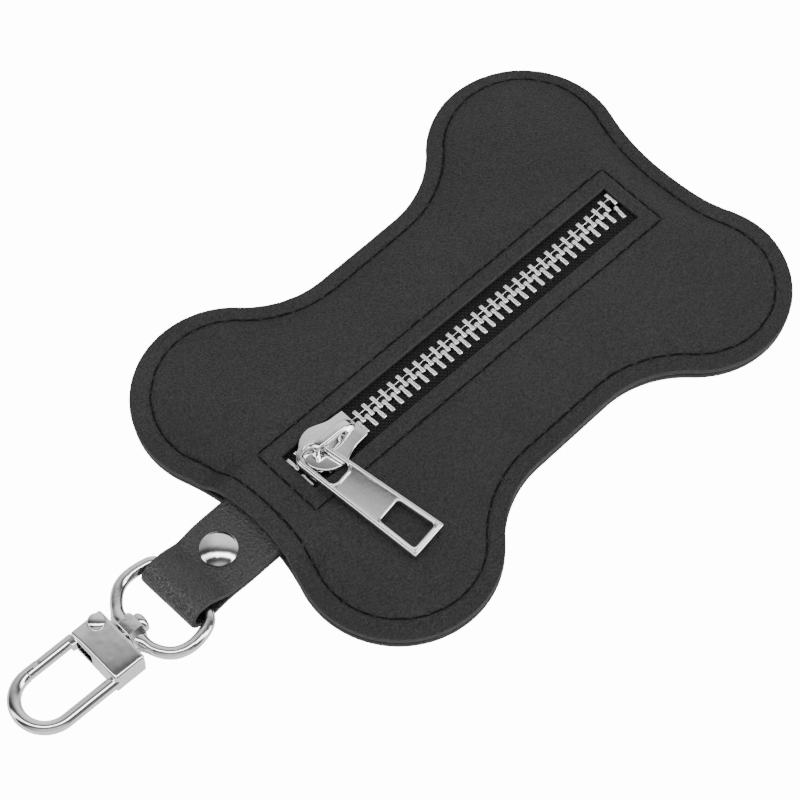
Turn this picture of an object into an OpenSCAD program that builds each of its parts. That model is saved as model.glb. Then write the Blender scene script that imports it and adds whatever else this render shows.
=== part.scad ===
// Bone-shaped zip pouch for waste bags, with a riveted strap, a swivel D ring and a gated hook.
// Millimetres, +Z up. The pouch lies on its back on z = 0, its strap end towards -X.

/* [Pouch] */
// Distance of each lobe's centre from the middle, along the pouch
lobe_x = 41.1; // [39.5:0.1:44]
// Distance of each lobe's centre from the middle line
lobe_y = 22.9; // [21:0.1:26]
// Radius of the four lobes
lobe_r = 20.1; // [19:0.05:21]
// Distance of the hollow end's lowest point from the middle
end_x = 57.4; // [56.5:0.05:58]
// Half the width at the waist
waist_half = 29.5; // [28:0.1:31]
// Radius of the hollow between lobe and waist
waist_r = 22.9; // [18:0.1:26]
// Thickness of each leather panel
leather_t = 1.3; // [1:0.05:1.6]
// Distance of the seam from the cut edge
seam_in = 3.4; // [2.8:0.1:3.6]
// Offset of the seam from the cut outline, along the pouch
seam_dx = 0.5; // [-0.8:0.1:0.8]
// Offset of the seam from the cut outline, across the pouch
seam_dy = 0.35; // [-0.8:0.05:0.8]
// Opening between the two cut edges outside the seam
lip_gap = 0.3; // [0.1:0.05:0.5]
// Radius of the sewing thread
thread_r = 0.28; // [0.2:0.01:0.35]
// Length of one stitch
stitch_len = 2.5; // [2:0.1:2.8]
// Distance from stitch to stitch
stitch_pitch = 3.4; // [3.2:0.1:4.5]

/* [Zipper] */
// Turn of the zipper against the pouch's middle line, in degrees
zip_turn = -0.8; // [-1.5:0.1:1.5]
// Half the length of the slot in the front panel
slot_x = 44.85; // [43:0.05:46]
// Half the width of the slot
slot_y = 4.95; // [4.85:0.05:5.5]
// Half the length of the sewn frame round the slot
frame_x = 47.8; // [47.2:0.1:49]
// Half the width of the sewn frame
frame_y = 8.35; // [7.6:0.05:8.8]
// Half the width of the two tapes together
tape_y = 9.8; // [9.3:0.1:10.2]
// Thickness of the tape
tape_t = 0.4; // [0.3:0.05:0.5]
// Distance from tooth to tooth in one row
tooth_pitch = 2.3; // [2.2:0.05:2.6]
// Width of a tooth along the zipper
tooth_w = 1.0; // [0.8:0.05:1.05]
// Length of a tooth from its outer tip to the middle of the chain
tooth_reach = 2.75; // [2.5:0.05:2.8]
// How far a tooth's head passes the middle of the chain
head_past = 0.55; // [0.4:0.05:0.6]
// Thickness of a tooth
tooth_t = 2.1; // [1.8:0.05:2.2]

/* [Slider] */
// Place of the closed slider's back edge along the zipper
slider_back = -29.7; // [-31:0.1:-28]
// Radius of the slider's round front
nose_r = 5.3; // [5.1:0.05:5.5]
// Distance from the back edge to the middle of the round front
nose_at = 7.7; // [7.4:0.1:8.2]
// Half the width at the back edge
tail_half = 3.65; // [3.6:0.05:3.9]
// Thickness of the lower plate and of the upper plate's rim
plate_t = 0.9; // [0.8:0.05:1]
// Room between the teeth and the plates
tooth_gap = 0.15; // [0.1:0.05:0.2]
// Room between the lower plate and the back panel
under_gap = 0.2; // [0.1:0.05:0.4]
// Width of the crown's strip
crown_w = 1.8; // [1.6:0.1:2]
// Thickness of the crown's strip
crown_t = 1; // [0.8:0.05:1.2]
// Room inside the crown above the pull's ring
crown_room = 0.25; // [0.2:0.05:0.5]

/* [Pull] */
// Length of the pull
pull_len = 31.4; // [29:0.1:34]
// Width of the pull at its square end
pull_w = 8.8; // [8.2:0.1:9.4]
// Width of the pull at its ring
ring_w = 7; // [6.8:0.1:7.4]
// Thickness of the pull
pull_t = 1.4; // [1.2:0.1:1.6]
// Width of the bars round the eye
eye_bar = 1.15; // [1:0.05:1.25]
// Length of the eye
eye_len = 9.2; // [8.8:0.1:9.8]
// Length of the window
window_len = 8.5; // [7:0.1:9]
// Width of the frame round the window
window_rim = 1.3; // [1:0.05:1.6]
// Heading of the pull as it lies, in degrees from the zipper's open end
pull_turn = -82.2; // [-90:0.1:-75]
// Slope of the pull as it lies, in degrees
pull_slope = 4; // [3:0.1:4.5]

/* [Strap] */
// Distance of the strap from the pouch's middle line
strap_y = -0.8; // [-1:0.1:1]
// Width of the strap
strap_w = 15.5; // [14:0.1:16]
// Thickness of the strap's leather
strap_t = 1.2; // [1:0.05:1.3]
// End of the strap inside the pouch
strap_end = -48.6; // [-49:0.1:-48.2]
// Place of the rivet
rivet_x = -66.3; // [-67.5:0.1:-65]
// Offset of the rivet from the strap's middle
rivet_off = 0.6; // [-0.6:0.1:0.8]
// Radius of the rivet's cap
cap_r = 3.75; // [3.2:0.05:4]
// Height of the rivet's cap
cap_h = 1.6; // [1.2:0.1:2]
// Radius of the rivet's post
post_r = 1.3; // [1:0.1:1.5]
// Place of the ring's bar in the fold
bar_x = -76.4; // [-76.8:0.1:-75.8]
// How far the strap's edge by the gate steps in at the fold
fold_in = 1.05; // [1:0.05:1.6]
// Slack of the fold beyond the ring's bar
fold_slack = 1.2; // [0.8:0.1:1.6]
// Room between the ring's wire and the fold
fold_room = 0.7; // [0.65:0.05:0.8]

/* [Ring and hook] */
// Radius of the ring's wire
wire_r = 1.2; // [1.1:0.05:1.25]
// Offset of the ring along its bar from the strap's middle
ring_shift = -0.5; // [-0.55:0.05:-0.4]
// Turn of ring and hook in the fold's slack, in degrees
hang_turn = -2.2; // [-2.4:0.1:0.4]
// Distance from the ring's bar to the outside of its bow
ring_depth = 14.5; // [14.4:0.1:15.2]
// Radius of the ring's bow along the wire's middle
bow_r = 11.3; // [11:0.1:12]
// Radius of the ring's sides along the wire's middle
side_r = 5; // [4.6:0.1:5.4]
// Half the width of the ring along the wire's middle
ring_half = 8.6; // [8.55:0.05:8.9]
// Radius of the ring's corners along the wire's middle
corner_r = 1.5; // [1.4:0.05:1.6]
// Half the width of the ring's swivel boss
boss_y = 2.4; // [2.2:0.1:2.6]
// Half the height of the boss
boss_z = 2.7; // [2.4:0.1:2.8]
// Length of the boss
boss_len = 3.4; // [3:0.1:3.5]
// Radius of the swivel post
swivel_r = 1.3; // [1.2:0.05:1.4]
// Running clearance round a pin or post
run_gap = 0.05; // [0.02:0.01:0.08]
// Gap between the boss and the housing
swivel_gap = 0.4; // [0.3:0.05:0.6]
// Length of the housing along the hook
house_len = 7.1; // [7:0.1:8]
// Width of the housing
house_w = 13.2; // [13:0.1:14]
// Offset of the housing from the swivel's axis, away from the gate
house_off = 0.25; // [0:0.05:0.3]
// Thickness of the housing
house_t = 5.8; // [5.6:0.1:6]
// Radius of the hook's round bar
hook_r = 1.35; // [1.25:0.05:1.4]
// Radius of the hook's bend along the bar's middle
bend_r = 5.95; // [5.8:0.05:6.2]
// Distance from the housing to the middle of the bend
bend_at = 11; // [9.6:0.1:12]
// Radius of the gate's round bar
gate_r = 1.25; // [1.15:0.05:1.3]
// Radius of the gate's pivot pin
pin_r = 0.7; // [0.6:0.05:0.8]
// Radius of the pin's heads
pin_head_r = 1.75; // [1.5:0.05:1.9]

/* [Hidden] */
$fn = 48;
eps = 0.01;

// ---- heights ----
chan_h = tooth_t + 2 * tooth_gap;                       // inner height of the slider's channel
zip_z = leather_t + under_gap + plate_t + chan_h / 2;   // middle of the chain
leather_z = zip_z + tape_t / 2 + 0.02;                  // underside of the front panel at the zipper
rise = leather_z - leather_t;
deck_z = leather_z + leather_t;                         // top of the front panel at the zipper
rim_z = deck_z + 0.2;                                   // underside of the slider's overhanging rim
plate_z = rim_z + plate_t;                              // top of the slider's upper plate

// ---- outline of the panels ----
n_end = 6;
n_lobe = 14;
n_hollow = 6;
n_waist = 3;
n_q = n_end + n_lobe + n_hollow + n_waist;
end_r = (pow(end_x - lobe_x, 2) + pow(lobe_y, 2) - pow(lobe_r, 2)) / (2 * (lobe_r - (end_x - lobe_x)));
end_cx = end_x + end_r;
end_a = atan2(lobe_y, end_cx - lobe_x);
hollow_y = waist_half + waist_r;
hollow_x = lobe_x - sqrt(pow(lobe_r + waist_r, 2) - pow(hollow_y - lobe_y, 2));
hollow_a = atan2(hollow_y - lobe_y, hollow_x - lobe_x);

// One quarter of the outline moved inwards by d, from the hollow end to the waist
function quarter(d) = concat(
    [for (i = [0:n_end - 1]) let(t = end_a * i / n_end)
        [end_cx - (end_r + d) * cos(t), (end_r + d) * sin(t)]],
    [for (i = [0:n_lobe - 1]) let(a = -end_a + (hollow_a + end_a) * i / n_lobe)
        [lobe_x + (lobe_r - d) * cos(a), lobe_y + (lobe_r - d) * sin(a)]],
    [for (i = [0:n_hollow - 1]) let(a = hollow_a + (90 - hollow_a) * i / n_hollow)
        [hollow_x - (waist_r + d) * cos(a), hollow_y - (waist_r + d) * sin(a)]],
    [for (i = [0:n_waist]) [hollow_x * (1 - i / n_waist), waist_half - d]]);

// One quarter of a rectangle, with as many points and its corner on one of them
function quarter_rect(x, y) = [for (i = [0:n_q])
    i <= n_end ? [x, y * i / n_end] : [x * (1 - (i - n_end) / (n_q - n_end)), y]];

// The whole loop from one quarter, by mirroring
function loop4(q) = concat(
    [for (i = [0:n_q - 1]) q[i]],
    [for (i = [0:n_q - 1]) [-q[n_q - i][0], q[n_q - i][1]]],
    [for (i = [0:n_q - 1]) [-q[i][0], -q[i][1]]],
    [for (i = [0:n_q - 1]) [q[n_q - i][0], -q[n_q - i][1]]]);

function turned(p) = [p[0] * cos(zip_turn) - p[1] * sin(zip_turn),
    p[0] * sin(zip_turn) + p[1] * cos(zip_turn)];
function turned_all(l) = [for (p = l) turned(p)];
function outline(d, off = 0) = [for (p = loop4(quarter(d))) p + off * [seam_dx, seam_dy]];

// ---- height of the front panel's underside ----
deck_x = 46.3;          // the flat part round the slot ends here
deck_y = tape_y + 0.3;
n_rise = 6;
ply_gap = 0.04;         // room between the strap's two layers
strap_stack = 2 * strap_t + 2 * ply_gap;
spread = 6;             // the panel comes down beside the strap over this width
function dome(t) = leather_t + rise * (1 - pow(1 - t, 1.5));
function over_strap(p) = let(o = abs(p[1] - strap_y) - strap_w / 2 - 1)
    p[0] > strap_end + 4 ? 0 : o <= 0 ? 1 : o >= spread ? 0 : (1 + cos(180 * o / spread)) / 2;
function under_z(p, z) = max(z, leather_t + strap_stack * over_strap(p));

edge = outline(0);
seam = outline(seam_in, 1);
deck = turned_all(loop4(quarter_rect(deck_x, deck_y)));
slot = turned_all(loop4(quarter_rect(slot_x, slot_y)));
rings = concat(
    [[edge, leather_t + lip_gap], [outline(seam_in / 2, 0.5), leather_t + lip_gap / 4], [seam, leather_t]],
    [for (k = [1:n_rise]) let(t = k / n_rise) [seam * (1 - t) + deck * t, dome(t)]],
    [[slot, leather_z]]);
n_p = 4 * n_q;
n_r = len(rings);

module front_panel() {
    under = [for (r = rings) for (p = r[0]) [p[0], p[1], under_z(p, r[1])]];
    over = [for (q = under) q + [0, 0, leather_t]];
    n_u = n_r * n_p;
    band = [for (r = [0:n_r - 2]) for (i = [0:n_p - 1]) let(j = (i + 1) % n_p)
        [r * n_p + i, r * n_p + j, (r + 1) * n_p + j, (r + 1) * n_p + i]];
    top = [for (q = band) for (t = [[0, 2, 1], [0, 3, 2]]) [for (k = t) q[k] + n_u]];
    bottom = [for (q = band) for (t = [[0, 1, 2], [0, 2, 3]]) [for (k = t) q[k]]];
    walls = [for (i = [0:n_p - 1]) let(j = (i + 1) % n_p, o = (n_r - 1) * n_p) for (f =
        [[i, i + n_u, j + n_u], [i, j + n_u, j], [o + i, o + j + n_u, o + i + n_u], [o + i, o + j, o + j + n_u]]) f];
    color([0.2, 0.2, 0.2]) polyhedron(concat(under, over), concat(top, bottom, walls), convexity = 6);
}

module back_panel() {
    color([0.2, 0.2, 0.2]) linear_extrude(leather_t) polygon(edge);
}

// ---- stitches along a closed line ----
function run(l) = [for (i = 0, s = 0; i <= len(l); s = s + norm(l[(i + 1) % len(l)] - l[i % len(l)]), i = i + 1)
    [s, l[i % len(l)]]];
function at(tab, c, s) = lookup(s, [for (e = tab) [e[0], e[1][c]]]);

module thread(a, b) {
    v = b - a;
    translate((a + b) / 2) rotate([0, acos(v[2] / norm(v)), atan2(v[1], v[0])])
        cylinder(r = thread_r, h = norm(v), center = true, $fn = 16);
}

module sewn(line) {
    tab = run(line);
    total = tab[len(tab) - 1][0];
    n = round(total / stitch_pitch);
    for (k = [0:n - 1]) {
        s = (k + 0.5) * total / n;
        a = [for (c = [0:2]) at(tab, c, s - stitch_len / 2)];
        b = [for (c = [0:2]) at(tab, c, s + stitch_len / 2)];
        thread(a, b);
    }
}

module perimeter_stitching() {
    color([0.06, 0.06, 0.06]) sewn([for (p = seam) [p[0], p[1], under_z(p, leather_t) + leather_t]]);
}

// A straight row of n stitches from a to b
module row(a, b) {
    n = floor(norm(b - a) / stitch_pitch);
    for (k = [0:n - 1]) {
        m = a + (b - a) * (k + 0.5) / n;
        h = (b - a) / norm(b - a) * stitch_len / 2;
        thread(m - h, m + h);
    }
}

module frame_stitching() {
    end_z = dome((end_x - seam_in - frame_x) / (end_x - seam_in - deck_x)) + leather_t;
    color([0.06, 0.06, 0.06]) rotate([0, 0, zip_turn]) for (s = [1, -1]) {
        row([-deck_x, s * frame_y, deck_z], [deck_x, s * frame_y, deck_z]);
        row([s * frame_x, -frame_y, end_z], [s * frame_x, frame_y, end_z]);
    }
}

// ---- zipper: the rows part in front of the slider and meet again at the sewn end ----
part_half = 1.5;        // each row's sideways step inside the slider's mouth
end_half = 1.1;         // each row's sideways step at the sewn end
throat_x = slider_back - 3;
mouth_x = slider_back - nose_at - 2.4;
function smooth(t) = t <= 0 ? 0 : t >= 1 ? 1 : t * t * (3 - 2 * t);
function parting(x) = x >= mouth_x ? part_half * smooth((throat_x - x) / (throat_x - mouth_x))
    : part_half + (end_half - part_half) * smooth((mouth_x - x) / (mouth_x + slot_x));

tape_in = head_past + 0.08;     // the tape's inner edge, clear of the other row's heads
module tape(side) {
    x0 = -slot_x - 1;
    x1 = slot_x + 1;
    xs = [for (x = [x0:1:throat_x + 1]) x];
    color([0.08, 0.08, 0.08]) rotate([0, 0, zip_turn]) translate([0, 0, zip_z - tape_t / 2])
        linear_extrude(tape_t) scale([1, side]) polygon(concat(
            [for (x = xs) [x, tape_in + parting(x)]], [[x1, tape_in], [x1, tape_y], [x0, tape_y]]));
}

neck_y = 0.75;          // a tooth's legs end here, and its narrow neck starts

module tooth(side, x, lean) {
    translate([x, side * parting(x), 0]) rotate([0, 0, side * lean]) scale([1, side, 1]) {
        translate([-tooth_w / 2, neck_y, -tooth_t / 2]) cube([tooth_w, tooth_reach - neck_y, tooth_t]);
        translate([-tooth_w * 0.34, -head_past + 0.4, -tooth_t * 0.36])
            cube([tooth_w * 0.68, head_past + 0.4, tooth_t * 0.72]);
        translate([-tooth_w / 2, -head_past, -tooth_t * 0.43]) cube([tooth_w, 0.8, tooth_t * 0.86]);
    }
}

module teeth(side) {
    first = -slot_x + 1.2 + (side > 0 ? 0 : tooth_pitch / 2);
    n = floor((slot_x - 0.7 - first) / tooth_pitch);
    color([0.78, 0.78, 0.78]) rotate([0, 0, zip_turn]) translate([0, 0, zip_z])
        for (k = [0:n]) {
            x = first + k * tooth_pitch;
            tooth(side, x, atan((parting(x + 0.5) - parting(x - 0.5))));
        }
}

module tape_left() tape(1);
module tape_right() tape(-1);
module teeth_left() teeth(1);
module teeth_right() teeth(-1);

// ---- slider ----
function slider_half(u) = tail_half + (nose_r - tail_half) * (0.36 * u / nose_at + 0.64 * smooth((u - 3.1) / (nose_at - 3.1)));
function slider_side(inset) = concat(
    [for (u = [0:0.7:nose_at - 0.1]) [slider_back - max(u, inset), slider_half(u) - inset]],
    [for (a = [90:15:165]) [slider_back - nose_at + (nose_r - inset) * cos(a), (nose_r - inset) * sin(a)]]);
module slider_outline(inset = 0) {
    s = slider_side(inset);
    n = len(s);
    polygon(concat(s, [[slider_back - nose_at - nose_r + inset, 0]],
        [for (i = [0:n - 1]) [s[n - 1 - i][0], -s[n - 1 - i][1]]]));
}

flange_out = 0.65;      // the flanges stand this far inside the rim, clear of the slot
flange_t = 0.38;
wedge_len = 4.8;
wedge_x = slider_back - nose_at + 0.4;  // the wedge's thin end, where the rows part
tape_room = 0.25;

module slider_body() {
    cut = slider_back - nose_at - 0.8;      // the flanges end here, where the rows come in
    color([0.8, 0.8, 0.8]) rotate([0, 0, zip_turn]) {
        translate([0, 0, rim_z]) linear_extrude(plate_t) slider_outline();
        translate([0, 0, zip_z + chan_h / 2]) linear_extrude(rim_z - zip_z - chan_h / 2 + eps)
            slider_outline(flange_out);
        translate([0, 0, zip_z - chan_h / 2 - plate_t]) linear_extrude(plate_t) slider_outline(flange_out);
        // flanges above and below the tape
        for (z = [[zip_z + tape_t / 2 + tape_room, zip_z + chan_h / 2 + eps],
                [zip_z - chan_h / 2 - eps, zip_z - tape_t / 2 - tape_room]])
            translate([0, 0, z[0]]) linear_extrude(z[1] - z[0]) intersection() {
                difference() {
                    slider_outline(flange_out);
                    slider_outline(flange_out + flange_t);
                    translate([slider_back - 2, -tooth_reach - 0.15]) square([4, 2 * tooth_reach + 0.3]);
                }
                translate([cut, -2 * nose_r]) square([4 * nose_r, 4 * nose_r]);
            }
        // the wedge that parts the rows, and joins the plates
        translate([0, 0, zip_z - chan_h / 2 - eps]) linear_extrude(chan_h + 2 * eps) polygon([
            [wedge_x - wedge_len, 0.6], [wedge_x - 1, 0.42], [wedge_x, 0.15],
            [wedge_x, -0.15], [wedge_x - 1, -0.42], [wedge_x - wedge_len, -0.6]]);
    }
}

// ---- crown and pull ----
pivot_at = 10.3;                                            // from the slider's square end to the front leg
pivot_x = slider_back - pivot_at;                           // the pull swings round the crown's front leg
leg_t = 1.1;                                                // thickness of the crown's front leg
foot_t = 2.2;                                               // thickness of its back foot
arch_in = 4;                                                // its opening reaches its full height here
arch_out = 4.6;                                             // its back slope ends here
pull_z = plate_z + 0.15 + nose_r * tan(pull_slope);         // underside of the pull above the pivot
crown_in = pull_z + pull_t / cos(pull_slope) + crown_w / 2 * tan(pull_slope) + crown_room;
crown_top = crown_in + crown_t;

module slider_crown() {
    back = slider_back - 0.5;
    front = pivot_x - leg_t / 2;
    color([0.82, 0.82, 0.82]) rotate([0, 0, zip_turn]) translate([0, crown_w / 2, 0]) rotate([90, 0, 0])
        linear_extrude(crown_w) difference() {
            polygon([[back, plate_z], [back - 0.1, plate_z + 0.8], [back - foot_t / 2, crown_top - crown_t],
                [back - (foot_t + arch_out) / 2 + 0.5, crown_top - 0.15], [back - arch_out, crown_top],
                [front + leg_t + 0.1, crown_top], [front + 0.45, crown_top - 0.3],
                [front, crown_top - crown_t], [front, plate_z]]);
            polygon([[back - foot_t, plate_z - 1], [back - foot_t - 0.1, plate_z + 0.5],
                [back - (foot_t + arch_in) / 2, crown_in - 0.4], [back - arch_in, crown_in],
                [front + leg_t + 0.25, crown_in], [front + leg_t, crown_in - 0.25], [front + leg_t, plate_z - 1]]);
        }
}

ring_back = 3;          // the ring's round end lies this far behind the pivot
pull_off = 1.1;         // the pull has slid this far to one side on the crown's leg
module pull_tab() {
    er = ring_w / 2;
    taper = (pull_w - ring_w) / 2 / (pull_len - er);
    function half(s) = er + taper * (s - er);
    e0 = eye_bar;
    e1 = eye_bar + eye_len;
    w1 = pull_len - window_rim;
    w0 = w1 - window_len;
    color([0.8, 0.8, 0.8]) rotate([0, 0, zip_turn]) translate([pivot_x, 0, pull_z]) rotate([pull_slope, 0, 0])
        rotate([0, 0, pull_turn]) translate([-ring_back, -pull_off, 0]) linear_extrude(pull_t) difference() {
            union() {
                translate([er, 0]) circle(r = er);
                polygon([[er, -er], [pull_len, -pull_w / 2], [pull_len, pull_w / 2], [er, er]]);
            }
            // the eye: round at the ring's end, square with small corners at the other
            translate([er, 0]) circle(r = er - e0);
            polygon([[er, -er + e0], [e1 - 0.8, -half(e1) + e0], [e1, -half(e1) + e0 + 0.8],
                [e1, half(e1) - e0 - 0.8], [e1 - 0.8, half(e1) - e0], [er, er - e0]]);
            polygon([[w0, -half(w0) + window_rim], [w1, -half(w1) + window_rim],
                [w1, half(w1) - window_rim], [w0, half(w0) - window_rim]]);
        }
}

// ---- strap ----
axis_z = wire_r + fold_room + strap_t + 0.05;       // height of the ring's bar, and of the swivel
low_z = leather_t + strap_t / 2;                    // middle of the lower layer inside the pouch
high_z = low_z + strap_t + ply_gap;
fold_r = wire_r + fold_room + strap_t / 2;
fold_x = bar_x - fold_slack;
flat_x = rivet_x - cap_r;
n_path = 8;
strap_path = concat(
    [[strap_end, low_z], [flat_x, low_z]],
    [for (i = [1:n_path]) let(t = i / n_path) [flat_x + (bar_x - flat_x) * t, low_z + (axis_z - fold_r - low_z) * smooth(t)]],
    [for (a = [-90:-15:-270]) [fold_x + fold_r * cos(a), axis_z + fold_r * sin(a)]],
    [for (i = [0:n_path - 1]) let(t = i / n_path) [bar_x + (flat_x - bar_x) * t, axis_z + fold_r + (high_z - axis_z - fold_r) * smooth(t)]],
    [[flat_x, high_z], [strap_end, high_z]]);
function side_of(l, i, h) = let(a = l[max(i - 1, 0)], b = l[min(i + 1, len(l) - 1)], v = (b - a) / norm(b - a))
    l[i] + h * [-v[1], v[0]];

module strap() {
    n = len(strap_path);
    w = strap_w / 2;
    color([0.2, 0.2, 0.2]) difference() {
        translate([0, strap_y + w, 0]) rotate([90, 0, 0]) linear_extrude(strap_w) polygon(concat(
            [for (i = [0:n - 1]) side_of(strap_path, i, strap_t / 2)],
            [for (i = [n - 1:-1:0]) side_of(strap_path, i, -strap_t / 2)]));
        // the edges draw in towards the fold
        translate([0, strap_y, -1]) linear_extrude(20) {
            polygon([[rivet_x, w + 3], [rivet_x, w], [bar_x, w - fold_in], [bar_x - 12, w - fold_in], [bar_x - 12, w + 3]]);
            polygon([[rivet_x, -w - 3], [rivet_x, -w], [bar_x, -w + 0.45], [bar_x - 12, -w + 0.45], [bar_x - 12, -w - 3]]);
        }
        translate([rivet_x, strap_y + rivet_off, 0]) cylinder(r = post_r, h = 10);
    }
}

module rivet_cap() {
    dome_r = (cap_r * cap_r + (cap_h - 0.3) * (cap_h - 0.3)) / (2 * (cap_h - 0.3));
    color([0.82, 0.82, 0.82]) translate([rivet_x, strap_y + rivet_off, high_z + strap_t / 2]) {
        cylinder(r = cap_r, h = 0.3);
        intersection() {
            translate([0, 0, cap_h - dome_r]) sphere(r = dome_r, $fn = 96);
            translate([0, 0, 0.3 - eps]) cylinder(r = cap_r, h = cap_h);
        }
        translate([0, 0, -strap_t]) cylinder(r = post_r, h = strap_t + eps);
    }
}

module rivet_back() {
    color([0.82, 0.82, 0.82]) translate([rivet_x, strap_y + rivet_off, low_z - strap_t / 2]) {
        translate([0, 0, -0.6]) cylinder(r = cap_r - 0.3, h = 0.6);
        translate([0, 0, -eps]) cylinder(r = post_r, h = strap_t + eps);
    }
}

// ---- ring with its swivel boss: bow, two sides, two corners and the bar, all tangent ----
boss_out = bar_x - ring_depth;          // the boss's outer face
bow_x = boss_out + wire_r + bow_r;
side_y = ring_half - side_r;
side_x = bow_x - sqrt(pow(bow_r - side_r, 2) - pow(side_y, 2));
side_a = atan2(side_y, side_x - bow_x);
side_in = 0.5;                          // the sides' straight parts draw in towards the bar, in degrees
corner_x = bar_x - corner_r;
corner_y = (side_x * sin(side_in) + side_y * cos(side_in) + side_r - corner_r - corner_x * sin(side_in)) / cos(side_in);
module at_axis() translate([bar_x, strap_y + ring_shift, axis_z]) rotate([0, 0, hang_turn])
    translate([-bar_x, 0, 0]) children();
module rod_x(x0, x1, r) translate([x0, 0, 0]) rotate([0, 90, 0]) cylinder(r = r, h = x1 - x0);

// The wire's middle line from inside the bar round to the boss, as [x, y, heading of the outward side]
wire_sides = 16;
in_bar = 0.4;                           // the bent wire starts this far inside the straight bar
square_angle = 90;
function arc_pts(p, r, a0, a1, n) = [for (i = [0:n]) let(a = a0 + (a1 - a0) * i / n) [p[0] + r * cos(a), p[1] + r * sin(a), a]];
function mirrored(l) = [for (i = [len(l) - 1:-1:0]) [l[i][0], -l[i][1], -l[i][2]]];
boss_a = 180 - asin((boss_y - 0.5) / bow_r);        // the wire ends inside the boss, clear of its bore
half_wire = concat([[bar_x, corner_y - in_bar, 0]],
    arc_pts([corner_x, corner_y], corner_r, 0, square_angle - side_in, 6),
    arc_pts([side_x, side_y], side_r, square_angle - side_in, side_a, 10),
    [for (i = [1:5]) arc_pts([bow_x, 0], bow_r, side_a, boss_a, 5)[i]]);

module half_ring(line) {
    m = wire_sides;
    n = len(line);
    r = wire_r - 0.02;
    pts = [for (q = line) for (k = [0:m - 1]) let(b = 360 * (k + 0.5) / m)
        [q[0] + r * cos(b) * cos(q[2]), q[1] + r * cos(b) * sin(q[2]), r * sin(b)]];
    sides = [for (i = [0:n - 2]) for (k = [0:m - 1]) let(a = i * m + k, b = i * m + (k + 1) % m)
        for (f = [[a, b, b + m], [a, b + m, a + m]]) f];
    ends = [for (k = [1:m - 2]) for (f = [[0, k + 1, k], [(n - 1) * m, (n - 1) * m + k, (n - 1) * m + k + 1]]) f];
    polyhedron(pts, concat(sides, ends), convexity = 8);
}

module swivel_ring() {
    color([0.82, 0.82, 0.82]) at_axis() {
        translate([bar_x, -corner_y, 0]) rotate([-90, 0, 0]) cylinder(r = wire_r, h = 2 * corner_y, $fn = 32);
        half_ring(half_wire);
        half_ring(mirrored(half_wire));
        difference() {
            translate([boss_out, 0, 0]) rotate([90, 0, 90]) linear_extrude(boss_len) polygon([
                [boss_y, 1.6], [boss_y - 0.75, boss_z], [0.75 - boss_y, boss_z], [-boss_y, 1.6],
                [-boss_y, -1.6], [0.75 - boss_y, -boss_z], [boss_y - 0.75, -boss_z], [boss_y, -1.6]]);
            rod_x(boss_out - 1, boss_out + boss_len + 1, swivel_r + run_gap);
        }
    }
}

// ---- hook ----
house_back = boss_out - swivel_gap;
house_front = house_back - house_len;
bend_x = house_front - bend_at;
nose_x = bend_x + 3.05;                 // the nose's outer lip ends here
notch_x = bend_x + 0.25;                // the nose's inner half ends here
wall = 1.4;                             // thickness of the housing above and below the gate
knuckle_r = 1.15;                       // radius of the gate's eye round its pin
pin_x = house_back - 0.9 - run_gap - knuckle_r;
pin_y = 4.65;
slot_low = 0.2;                           // the gate's pocket in the housing reaches down to here
slot_high = pin_y + knuckle_r + 0.1;
head_gap = 0.1;
head_r = 2;                             // the post's peened head
head_len = 1.6;

module swivel_post() {
    color([0.82, 0.82, 0.82]) at_axis() {
        rod_x(house_back - 1.6, boss_out + boss_len + head_gap + eps, swivel_r);
        rod_x(boss_out + boss_len + head_gap, boss_out + boss_len + head_gap + head_len, head_r);
    }
}

module housing() {
    c = 0.9;
    translate([0, -house_off, 0]) intersection() {
        translate([house_front, -house_w / 2, -house_t / 2]) cube([house_len, house_w, house_t]);
        translate([house_front, 0, 0]) rotate([90, 0, 90]) linear_extrude(house_len) polygon([
            for (s = [[1, 1], [-1, 1], [-1, -1], [1, -1]]) for (k = s[0] * s[1] > 0 ? [0, 1] : [1, 0])
                [s[0] * (house_w / 2 - k * c * 0.8), s[1] * (house_t / 2 - (1 - k) * c)]]);
        translate([0, house_w / 2, 0]) rotate([90, 0, 0]) linear_extrude(house_w) polygon([
            for (s = [[1, 1], [-1, 1], [-1, -1], [1, -1]]) for (k = s[0] * s[1] > 0 ? [0, 1] : [1, 0])
                [(house_back + house_front) / 2 + s[0] * (house_len / 2 - k * c * 0.6),
                    s[1] * (house_t / 2 - (1 - k) * c * 0.5)]]);
    }
}

module hook_body() {
    color([0.82, 0.82, 0.82]) at_axis() difference() {
        union() {
            housing();
            translate([house_front + 0.6, -bend_r, 0]) rotate([0, -90, 0])
                cylinder(r = hook_r, h = house_front + 0.6 - bend_x, $fn = 32);
            translate([bend_x, 0, 0]) rotate([0, 0, 90]) rotate_extrude(angle = 180, $fn = 96)
                translate([bend_r, 0]) circle(r = hook_r, $fn = 32);
            translate([nose_x, bend_r, 0]) rotate([0, -90, 0]) cylinder(r = hook_r, h = nose_x - bend_x, $fn = 32);
        }
        // the nose's notch
        translate([notch_x, bend_r - 2 * hook_r, -2]) cube([5, 2 * hook_r, 4]);
        // pocket for the gate's tail
        translate([house_front - 1, slot_low, -house_t / 2 + wall])
            cube([house_len - 0.9 + 1, slot_high - slot_low, house_t - 2 * wall]);
        translate([pin_x, pin_y, -house_t]) cylinder(r = pin_r, h = 2 * house_t);
        rod_x(house_back - 1.6, house_back + 1, swivel_r);
    }
}

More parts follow.
